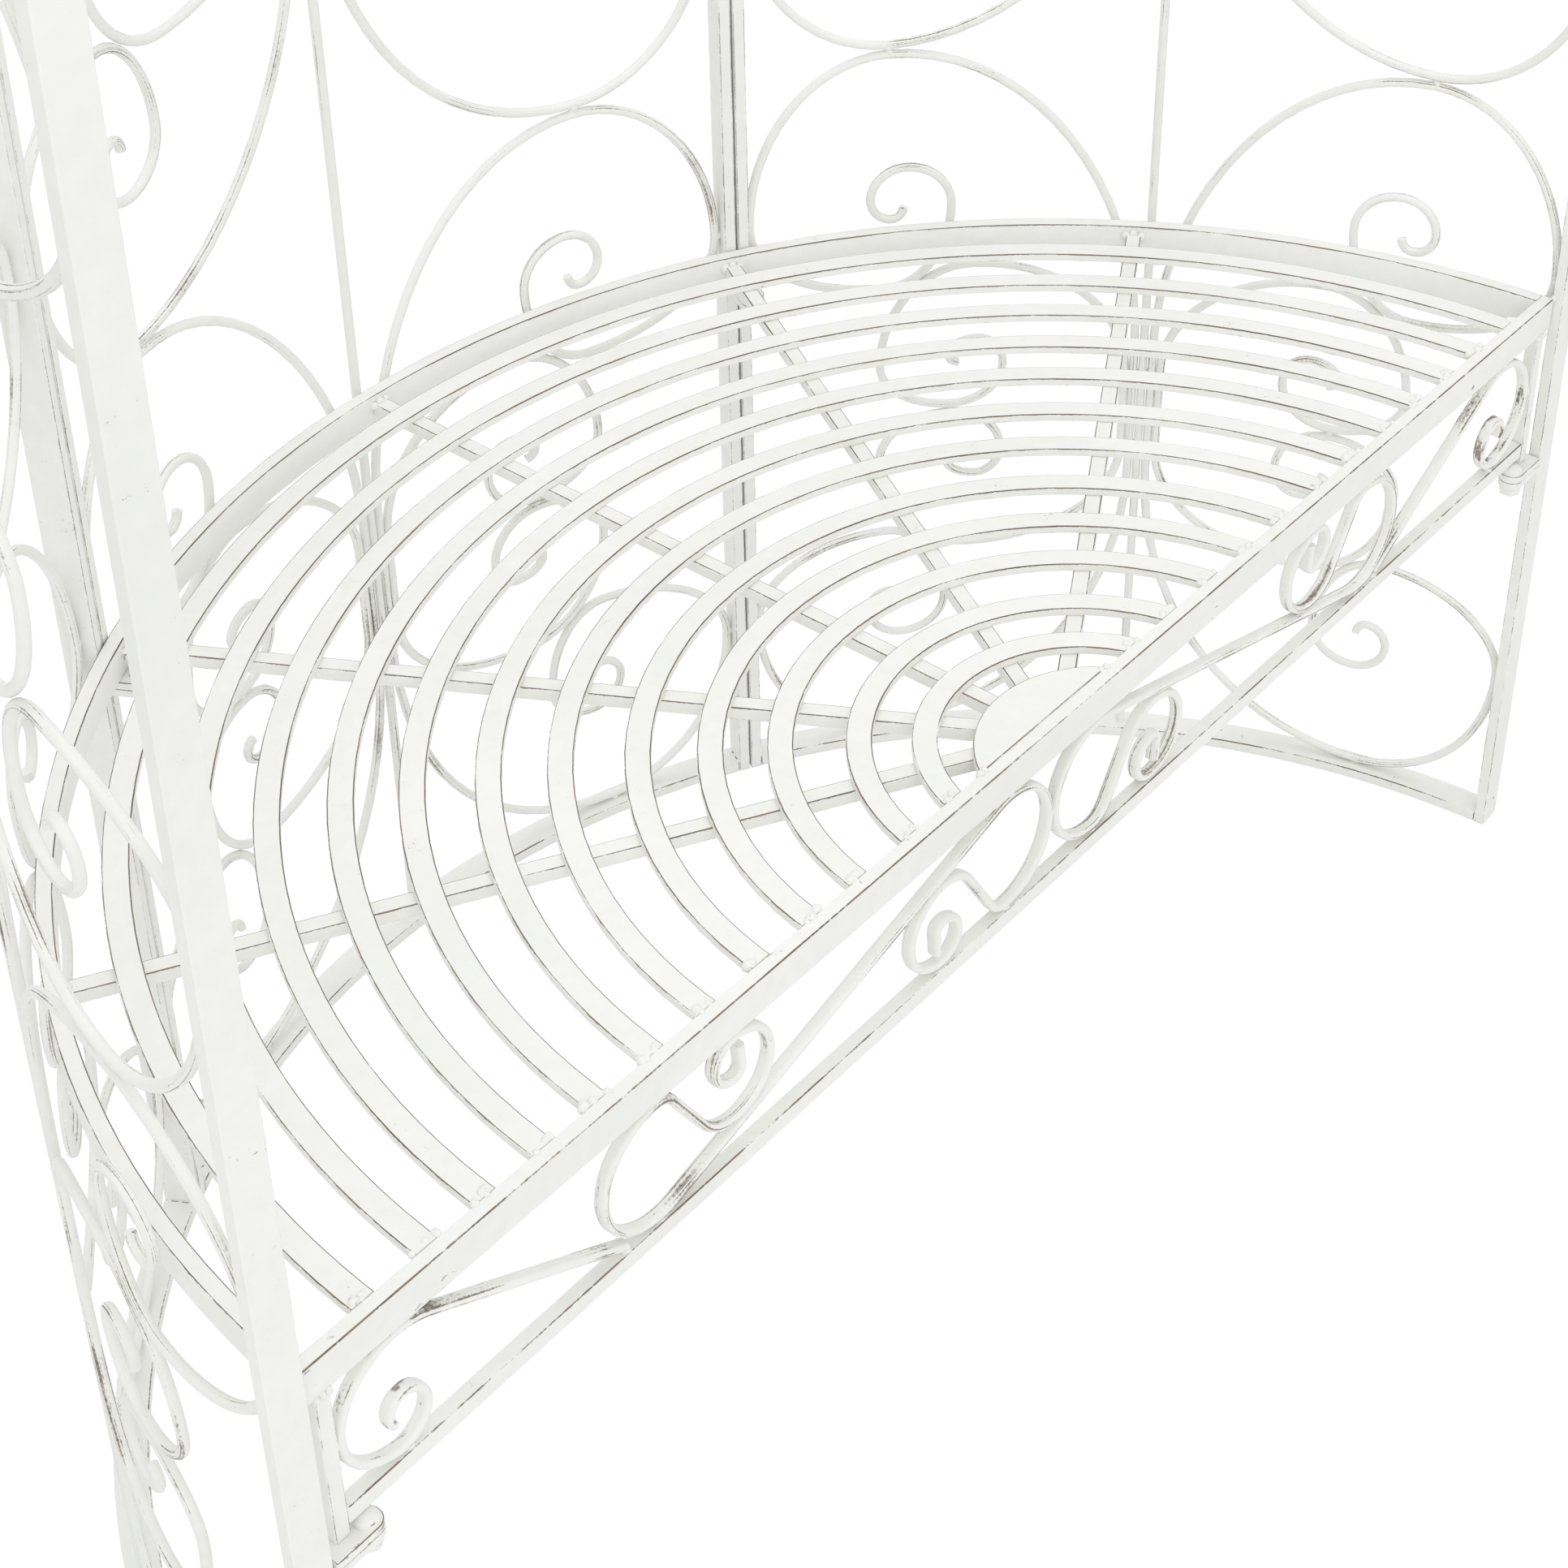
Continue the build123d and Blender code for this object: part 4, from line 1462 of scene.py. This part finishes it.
    def scrolls(self) -> None:
        """End scrolls and double scrolls, left and right."""
        end = self.flat_bar(self.end_line())
        flip = Matrix.Diagonal((-1.0, 1.0, 1.0, 1.0))
        right_end = self.forge.copy(end, flip)
        half, middle = self.double_line()
        far = [(2 * middle[0] - x, 2 * middle[1] - z) for x, z in reversed(half[1:])]
        double = self.flat_bar([*far, *half])
        across = Matrix.Translation((2 * self.meeting_offset, 0.0, 0.0)) @ flip
        right_double = self.forge.copy(double, across)
        pieces = {
            "left_end_scroll": end,
            "right_end_scroll": right_end,
            "left_double_scroll": double,
            "right_double_scroll": right_double,
        }
        for node, piece in pieces.items():
            self.stand_for(node, piece, self.finishes.apron_scroll, Slot.APRON)

    def scroll_spots(self) -> list[Spot]:
        """Weld spots where the scrolls touch the rails, the uprights and each other."""
        face = self.plan.rail_front + self.depth * self.scroll_weld
        tail_x = self.end_loop_x + self.tail_length
        near_x = self.double_loop_x
        far_x = 2 * self.double_line()[1][0] - near_x
        ends = [(self.end_loop_x, self.top), (self.end_loop_x, self.bottom), (tail_x, self.bottom)]
        doubles = [(x, z) for x in (near_x, far_x) for z in (self.top, self.bottom)]
        uprights = [(-self.upright_inner, self.middle)]
        spots = []
        for mirror, places in ((0.0, ends), (self.meeting_offset, doubles), (0.0, uprights)):
            for x, z in places:
                spots += [(self.plan.at(place, face, z), self.bead) for place in (x, 2 * mirror - x)]
        spots.append((self.plan.at(self.meeting_offset, face, self.middle), self.bead))
        return spots

    def rail_spots(self) -> list[Spot]:
        """Weld spots on top of the uprights and down the upper rail's ends."""
        plan = self.plan
        back, down = self.rail_weld_step
        spots = []
        for side in (-1, 1):
            for step, across in enumerate(self.upright_weld_row):
                along = side * (self.upright_inner + self.upright_width * across)
                place = plan.at(along, plan.rail_front, self.top - self.upright_weld_drop)
                spots.append((place, self.bead * self.upright_bead))
                deep = plan.rail_front + back * step
                end = plan.at(side * plan.rail_half, deep, plan.seat_height - down * step)
                spots.append((end, self.bead * self.rail_bead))
        return spots

    def welds(self) -> None:
        """Beads on the scrolls, the uprights and the upper rail."""
        piece = self.forge.weld_beads(self.scroll_spots() + self.rail_spots())
        self.fit(piece, "apron_welds", self.finishes.weld, Slot.APRON)


@dataclass
class Fixings(Assembly):
    """Lugs that bolt the bench to the posts, and the bolts through the double posts.

    A head's rim is the share of its height below the dome. A shank's taper is its tip's radius and length
    as shares of the shank's radius, and a nut's chamfer is a share of its height.
    """

    lug_thickness: float = 0.005
    lug_width: float = 0.016
    lug_reach: float = 0.033
    lug_corner: float = 0.0075
    lug_corner_steps: int = 6
    lug_smooth: float = 20.0
    bolt_edge: float = 0.008
    lug_head: Point2 = (0.0065, 0.005)
    lug_shank: float = 0.004
    lug_nut: Point2 = (0.013, 0.006)
    seam_head: Point2 = (0.005, 0.004)
    seam_shank: float = 0.003
    seam_nut: Point2 = (0.010, 0.005)
    seam_rise: float = 0.080
    seam_drop: float = 0.060
    seam_slack: float = 0.0002
    head_rim: float = 0.25
    head_steps: int = 6
    shank_taper: Point2 = (0.8, 0.3)
    bolt_steps: int = 24
    nut_chamfer: float = 0.12

    def build(self) -> None:
        """Make the lugs, bolts and nuts."""
        self.lugs()
        self.seam_bolts()

    def lug_places(self) -> list[tuple[Matrix, float]]:
        """Where each lug starts, and the underside of the bench piece that it is welded to."""
        plan = self.plan
        depth = plan.front_edge + self.lug_width / 2
        left = Matrix.Translation(plan.at(-plan.rail_half, depth, 0.0))
        right = Matrix.Translation(plan.at(plan.rail_half, depth, 0.0)) @ Matrix.Rotation(math.pi, 4, "Z")
        places = [(left, plan.upright_foot), (right, plan.upright_foot)]
        for angle in plan.seam_angles:
            turn = Matrix.Rotation(math.radians(angle + 180.0), 4, "Z")
            root = Matrix.Translation(plan.polar(plan.rim_outer, angle, 0.0))
            places.append((root @ turn, plan.seat_height - plan.rim_height))
        return places

    def lug(self) -> bpy.types.Object:
        """Lug plate along +X with its top on z = 0 and its far corners rounded."""
        self.forge.clear()
        bpy.ops.mesh.primitive_cube_add(size=1.0)
        plate = bpy.context.object
        middle = Matrix.Translation((self.lug_reach / 2, 0.0, -self.lug_thickness / 2))
        size = Matrix.Diagonal((self.lug_reach, self.lug_width, self.lug_thickness, 1.0))
        self.forge.place(plate, middle @ size)
        with self.forge.shaping(plate):
            bpy.ops.mesh.select_mode(type="EDGE")
            bpy.ops.mesh.select_all(action="DESELECT")
            bpy.ops.object.mode_set(mode="OBJECT")
            mesh = plate.data
            for edge in mesh.edges:
                a, b = (mesh.vertices[index].co for index in edge.vertices)
                edge.select = abs(a.z - b.z) > self.lug_thickness / 2 and a.x > self.lug_reach / 2
            bpy.ops.object.mode_set(mode="EDIT")
            bpy.ops.mesh.bevel(offset=self.lug_corner, segments=self.lug_corner_steps, affect="EDGES")
        self.forge.ease(plate, self.lug_smooth)
        return plate

    def bolt(self, head: Point2, shank: float, length: float) -> bpy.types.Object:
        """Round-headed bolt along -Z with its head standing on z = 0.

        Args:
            head: Radius and height of the head.
            shank: Radius of the shank.
            length: Length of the shank.

        Returns:
            The bolt.
        """
        radius, height = head
        rim = height * self.head_rim
        turns = [math.pi / 2 * step / self.head_steps for step in range(self.head_steps)]
        dome = [(radius * math.cos(turn), rim + (height - rim) * math.sin(turn)) for turn in turns]
        slim, taper = (shank * share for share in self.shank_taper)
        point = [(0.0, -length), (slim, -length), (shank, -length + taper)]
        outline = [*point, (shank, 0.0), (radius, 0.0), *dome, (0.0, height)]
        return self.forge.turned(outline, self.bolt_steps)

    def nut(self, size: Point2) -> bpy.types.Object:
        """Hexagon nut with chamfered corners standing on z = 0.

        Args:
            size: Width across flats and height.

        Returns:
            The nut.
        """
        width, height = size
        chamfer = height * self.nut_chamfer
        self.forge.clear()
        bpy.ops.mesh.primitive_cylinder_add(vertices=6, radius=width / math.sqrt(3.0), depth=height)
        piece = bpy.context.object
        with self.forge.shaping(piece):
            bpy.ops.mesh.bevel(offset=chamfer, segments=self.forge.edge_segments, affect="EDGES")
        self.forge.mark_corners(piece, chamfer, lambda place: UP)
        return self.forge.place(piece, Matrix.Translation((0.0, 0.0, height / 2)))

    def lugs(self) -> None:
        """Bench lugs on post lugs, with a bolt and a nut through each pair."""
        lug = self.lug()
        out = self.lug_reach - self.bolt_edge
        bolt = self.bolt(self.lug_head, self.lug_shank, 2 * self.lug_thickness + self.lug_nut[1])
        nut = self.nut(self.lug_nut)
        under = -2 * self.lug_thickness - self.lug_nut[1]
        paints = self.finishes
        groups = {
            "bench_lugs": (lug, (0.0, 0.0, 0.0), paints.apron_bar, Slot.APRON),
            "post_lugs": (lug, (0.0, 0.0, -self.lug_thickness), paints.apron_bar, Slot.APRON),
            "lug_bolts": (bolt, (out, 0.0, 0.0), paints.fastener, Slot.FASTENER),
            "lug_nuts": (nut, (out, 0.0, under), paints.fastener, Slot.FASTENER),
        }
        for node, (pattern, offset, finish, slot) in groups.items():
            pieces = []
            for place, top in self.lug_places():
                lift = place @ Matrix.Translation((0.0, 0.0, top))
                pieces.append(self.forge.copy(pattern, lift @ Matrix.Translation(offset)))
            self.stand_for(node, self.forge.join(pieces), finish, slot)
        for pattern in (lug, bolt, nut):
            bpy.data.objects.remove(pattern)

    def seam_bolts(self) -> None:
        """Bolts and nuts across the double posts, above the waist rail and below the eaves."""
        plan = self.plan
        grip = 2 * plan.bar_thickness + plan.seam_gap + self.seam_slack
        bolt = self.bolt(self.seam_head, self.seam_shank, grip + self.seam_nut[1])
        nut = self.nut(self.seam_nut)
        heights = (plan.waist_height + self.seam_rise, plan.eaves_height - self.seam_drop)
        groups = {"seam_bolts": (bolt, grip / 2), "seam_nuts": (nut, -grip / 2 - self.seam_nut[1])}
        for node, (pattern, offset) in groups.items():
            pieces = []
            for angle in plan.seam_angles:
                for height in heights:
                    spot = plan.about_centre(angle) @ Matrix.Translation((plan.bar_middle, 0.0, height))
                    lying = spot @ Matrix.Rotation(math.pi / 2, 4, "X")
                    pieces.append(self.forge.copy(pattern, lying @ Matrix.Translation((0.0, 0.0, offset))))
            self.stand_for(node, self.forge.join(pieces), self.finishes.fastener, Slot.FASTENER)
            bpy.data.objects.remove(pattern)


@dataclass
class DomeRoof(Assembly):
    """Open half dome: front arch, ribs, collar and finial.

    The base, stem and flare are radii and heights, the flare's beyond the stem and above the base. The
    spike's waist is shares of the stem's radius and of the spike's length.
    """

    collar_radius: float = 0.018
    collar_height: float = 0.024
    collar_ease: float = 0.0015
    base: Point2 = (0.022, 0.005)
    base_ease: float = 0.001
    stem: Point2 = (0.006, 0.022)
    flare: tuple[Point2, ...] = ((0.004, 0.0), (0.001, 0.002), (0.0, 0.006))
    ball_radius: float = 0.020
    ball_steps: int = 14
    spike: float = 0.066
    spike_waist: Point2 = (0.72, 0.3)
    rib_steps: int = 36
    collar_steps: int = 40
    finial_steps: int = 36

    def build(self) -> None:
        """Make the arch, ribs, collar and finial."""
        self.arch()
        plan = self.plan
        ribs = {"left_post_rib": plan.seam_angles[1], "right_post_rib": plan.seam_angles[0]}
        for panel, centre in plan.panel_centres.items():
            ribs[panel + "_middle_rib"] = centre
        for node, angle in ribs.items():
            self.rib(node, angle)
        self.collar()
        self.finial()

    @property
    def arch_y(self) -> float:
        """Distance of the arch's middle behind the plan centre."""
        return self.plan.bar_middle * math.sin(math.radians(self.plan.front_angle))

    @property
    def arch_outer(self) -> float:
        """Outer radius of the arch."""
        return (self.plan.wall_radius + self.plan.bar_width) * math.cos(math.radians(self.plan.front_angle))

    @property
    def crown(self) -> float:
        """Height of the arch's crown."""
        return self.plan.eaves_height + self.arch_outer

    @property
    def collar_y(self) -> float:
        """Distance of the collar's axis behind the plan centre."""
        return self.arch_y + self.plan.bar_thickness / 2 + self.collar_radius

    def arch(self) -> None:
        """Half-round flat bar on edge over the open front."""
        plan = self.plan
        inner = self.arch_outer - plan.bar_width * math.cos(math.radians(plan.front_angle))
        radii = (inner, self.arch_outer)
        bar = self.forge.spun_bar(radii, plan.bar_thickness, (0.0, 180.0), 2 * self.rib_steps)
        stand = Matrix.Translation(plan.at(0.0, self.arch_y + plan.bar_thickness / 2, plan.eaves_height))
        self.forge.place(bar, stand @ Matrix.Rotation(math.pi / 2, 4, "X"))
        self.stand_for("front_arch", bar, self.finishes.roof, Slot.ROOF)

    def rib(self, node: str, angle: float) -> None:
        """Flat bar on edge from the eaves to the collar.

        Args:
            node: CAD node that it stands for.
            angle: Polar angle of its foot.
        """
        plan = self.plan
        foot = plan.polar(plan.bar_middle, angle, 0.0) - plan.at(0.0, self.collar_y, 0.0)
        start = self.collar_radius + plan.weld_gap
        radius = foot.length - start
        centre_height = self.crown - self.collar_height / 2 - radius
        radii = (radius - plan.bar_width / 2, radius + plan.bar_width / 2)
        leg = centre_height - plan.eaves_height
        bar = self.forge.spun_bar(radii, plan.bar_thickness, (0.0, 90.0), self.rib_steps, leg=leg)
        out = Matrix.Translation((start, plan.bar_thickness / 2, centre_height))
        upright = out @ Matrix.Rotation(math.pi / 2, 4, "X")
        lean = Matrix.Rotation(math.atan2(foot.y, foot.x), 4, "Z")
        self.forge.place(bar, Matrix.Translation(plan.at(0.0, self.collar_y, 0.0)) @ lean @ upright)
        self.stand_for(node, bar, self.finishes.roof, Slot.ROOF)

    def eased_drum(self, radius: float, height: float, ease: float) -> list[Point2]:
        """Outline of a drum with eased edges, from the middle of its foot to its upper edge.

        Args:
            radius: Radius of the drum.
            height: Its height.
            ease: How far the edges are cut back.

        Returns:
            Radii and heights.
        """
        side = [(radius, ease), (radius, height - ease)]
        return [(0.0, 0.0), (radius - ease, 0.0), *side, (radius - ease, height)]

    def collar(self) -> None:
        """Collar where the ribs meet."""
        height = self.collar_height
        outline = [*self.eased_drum(self.collar_radius, height, self.collar_ease), (0.0, height)]
        collar = self.forge.turned(outline, self.collar_steps)
        self.forge.place(collar, Matrix.Translation(self.plan.at(0.0, self.collar_y, self.crown - height)))
        self.stand_for("roof_collar", collar, self.finishes.roof, Slot.ROOF)

    def finial(self) -> None:
        """Turned finial on the collar: base, stem, ball and spike."""
        base, low = self.base
        stem, rise = self.stem
        ball = self.ball_radius
        middle = low + rise + ball
        lean = math.asin(stem / ball)
        neck = ball * math.cos(lean)
        shares = [step / self.ball_steps for step in range(1, self.ball_steps)]
        swell = [math.pi / 2 - lean - (math.pi - 2 * lean) * share for share in shares]
        slim, waist = self.spike_waist
        outline = [
            *self.eased_drum(base, low, self.base_ease),
            *((stem + out, low + up) for out, up in self.flare),
            (stem, middle - neck),
            *((ball * math.cos(turn), middle - ball * math.sin(turn)) for turn in swell),
            (stem, middle + neck),
            (stem * slim, middle + ball + self.spike * waist),
            (0.0, middle + ball + self.spike),
        ]
        finial = self.forge.turned(outline, self.finial_steps)
        self.forge.place(finial, Matrix.Translation(self.plan.at(0.0, self.collar_y, self.crown)))
        self.stand_for("finial", finial, self.finishes.roof, Slot.ROOF)


@dataclass(frozen=True)
class Lamp:
    """Square soft lamp: its name, place, side in metres and power in watts."""

    name: str
    place: Point3
    size: float
    power: float


@dataclass
class Studio:
    """White floor, soft light and the camera at the photograph's angle."""

    camera_place: Point3 = (-1.0795, -0.9898, 1.5153)
    camera_turn: Point3 = (54.092, -0.486, -52.139)
    lens: float = 72.49
    sensor: float = 36.0
    shift: Point2 = (-0.0759, -0.1653)
    floor_size: float = 14.0
    floor_drop: float = 0.0004
    floor_tone: float = 0.9
    floor_glow: float = 1.04
    shadow_share: float = 0.12
    white: tuple[float, ...] = (1.0, 1.0, 1.0, 1.0)
    sky_strength: float = 0.88
    lamps: tuple[Lamp, ...] = (
        Lamp("key_lamp", (-2.2, -3.2, 2.6), 2.6, 29.0),
        Lamp("top_lamp", (0.3, 0.4, 4.4), 3.0, 33.0),
    )
    lamp_aim: Point3 = (0.0, 0.0, 0.45)

    def build(self) -> None:
        """Set up the floor, world, lamps and camera."""
        bpy.context.scene.view_settings.view_transform = "Standard"
        self.floor()
        self.world()
        for lamp in self.lamps:
            self.hang(lamp)
        self.camera()

    def floor(self) -> None:
        """Plain white floor that keeps a faint shadow."""
        bpy.ops.object.select_all(action="DESELECT")
        bpy.ops.mesh.primitive_plane_add(size=self.floor_size, location=(0.0, 0.0, -self.floor_drop))
        floor = bpy.context.object
        floor.name = "studio_floor"
        material = bpy.data.materials.new("studio_white")
        bench = ShaderBench(material)
        tone = (self.floor_tone, self.floor_tone, self.floor_tone, 1.0)
        lit = bench.node("ShaderNodeBsdfDiffuse", {}, {"Color": tone})
        white = bench.node("ShaderNodeEmission", {}, {"Color": self.white, "Strength": self.floor_glow})
        share = bench.seen() * (1.0 - self.shadow_share)
        mixed = bench.node("ShaderNodeMixShader", {}, {0: share, 1: lit.outputs[0], 2: white.outputs[0]})
        bench.node("ShaderNodeOutputMaterial", {}, {"Surface": mixed.outputs[0]})
        floor.data.materials.append(material)

    def world(self) -> None:
        """Even pale light from all round, seen as plain white."""
        world = bpy.data.worlds.new("studio_air")
        bpy.context.scene.world = world
        bench = ShaderBench(world)
        strengths = (self.sky_strength, 1.0)
        light, white = (
            bench.node("ShaderNodeBackground", {}, {"Color": self.white, "Strength": strength}).outputs[0]
            for strength in strengths
        )
        mixed = bench.node("ShaderNodeMixShader", {}, {0: bench.seen(), 1: light, 2: white})
        bench.node("ShaderNodeOutputWorld", {}, {"Surface": mixed.outputs[0]})

    def hang(self, lamp: Lamp) -> None:
        """Hang a lamp so that it faces the seat."""
        data = bpy.data.lights.new(lamp.name, "AREA")
        data.size = lamp.size
        data.energy = lamp.power
        hung = bpy.data.objects.new(lamp.name, data)
        bpy.context.scene.collection.objects.link(hung)
        hung.location = lamp.place
        aim = Vector(self.lamp_aim) - Vector(lamp.place)
        hung.rotation_euler = aim.to_track_quat("-Z", "Y").to_euler()

    def camera(self) -> None:
        """Camera at the photograph's viewing angle."""
        data = bpy.data.cameras.new("photo_camera")
        data.lens = self.lens
        data.sensor_width = self.sensor
        data.shift_x, data.shift_y = self.shift
        camera = bpy.data.objects.new("photo_camera", data)
        bpy.context.scene.collection.objects.link(camera)
        camera.location = self.camera_place
        camera.rotation_euler = [math.radians(angle) for angle in self.camera_turn]
        bpy.context.scene.camera = camera


def main() -> None:
    """Build every sub-assembly in order and set up the studio."""
    plan = Plan()
    forge = Forge(plan)
    finishes = Finishes.make()
    for kind in (ScrollWall, SlattedSeat, FrontApron, Fixings, DomeRoof):
        log.info("building %s", kind.__name__)
        kind(plan, forge, finishes).build()
    Studio().build()


if __name__ == "__main__":
    main()
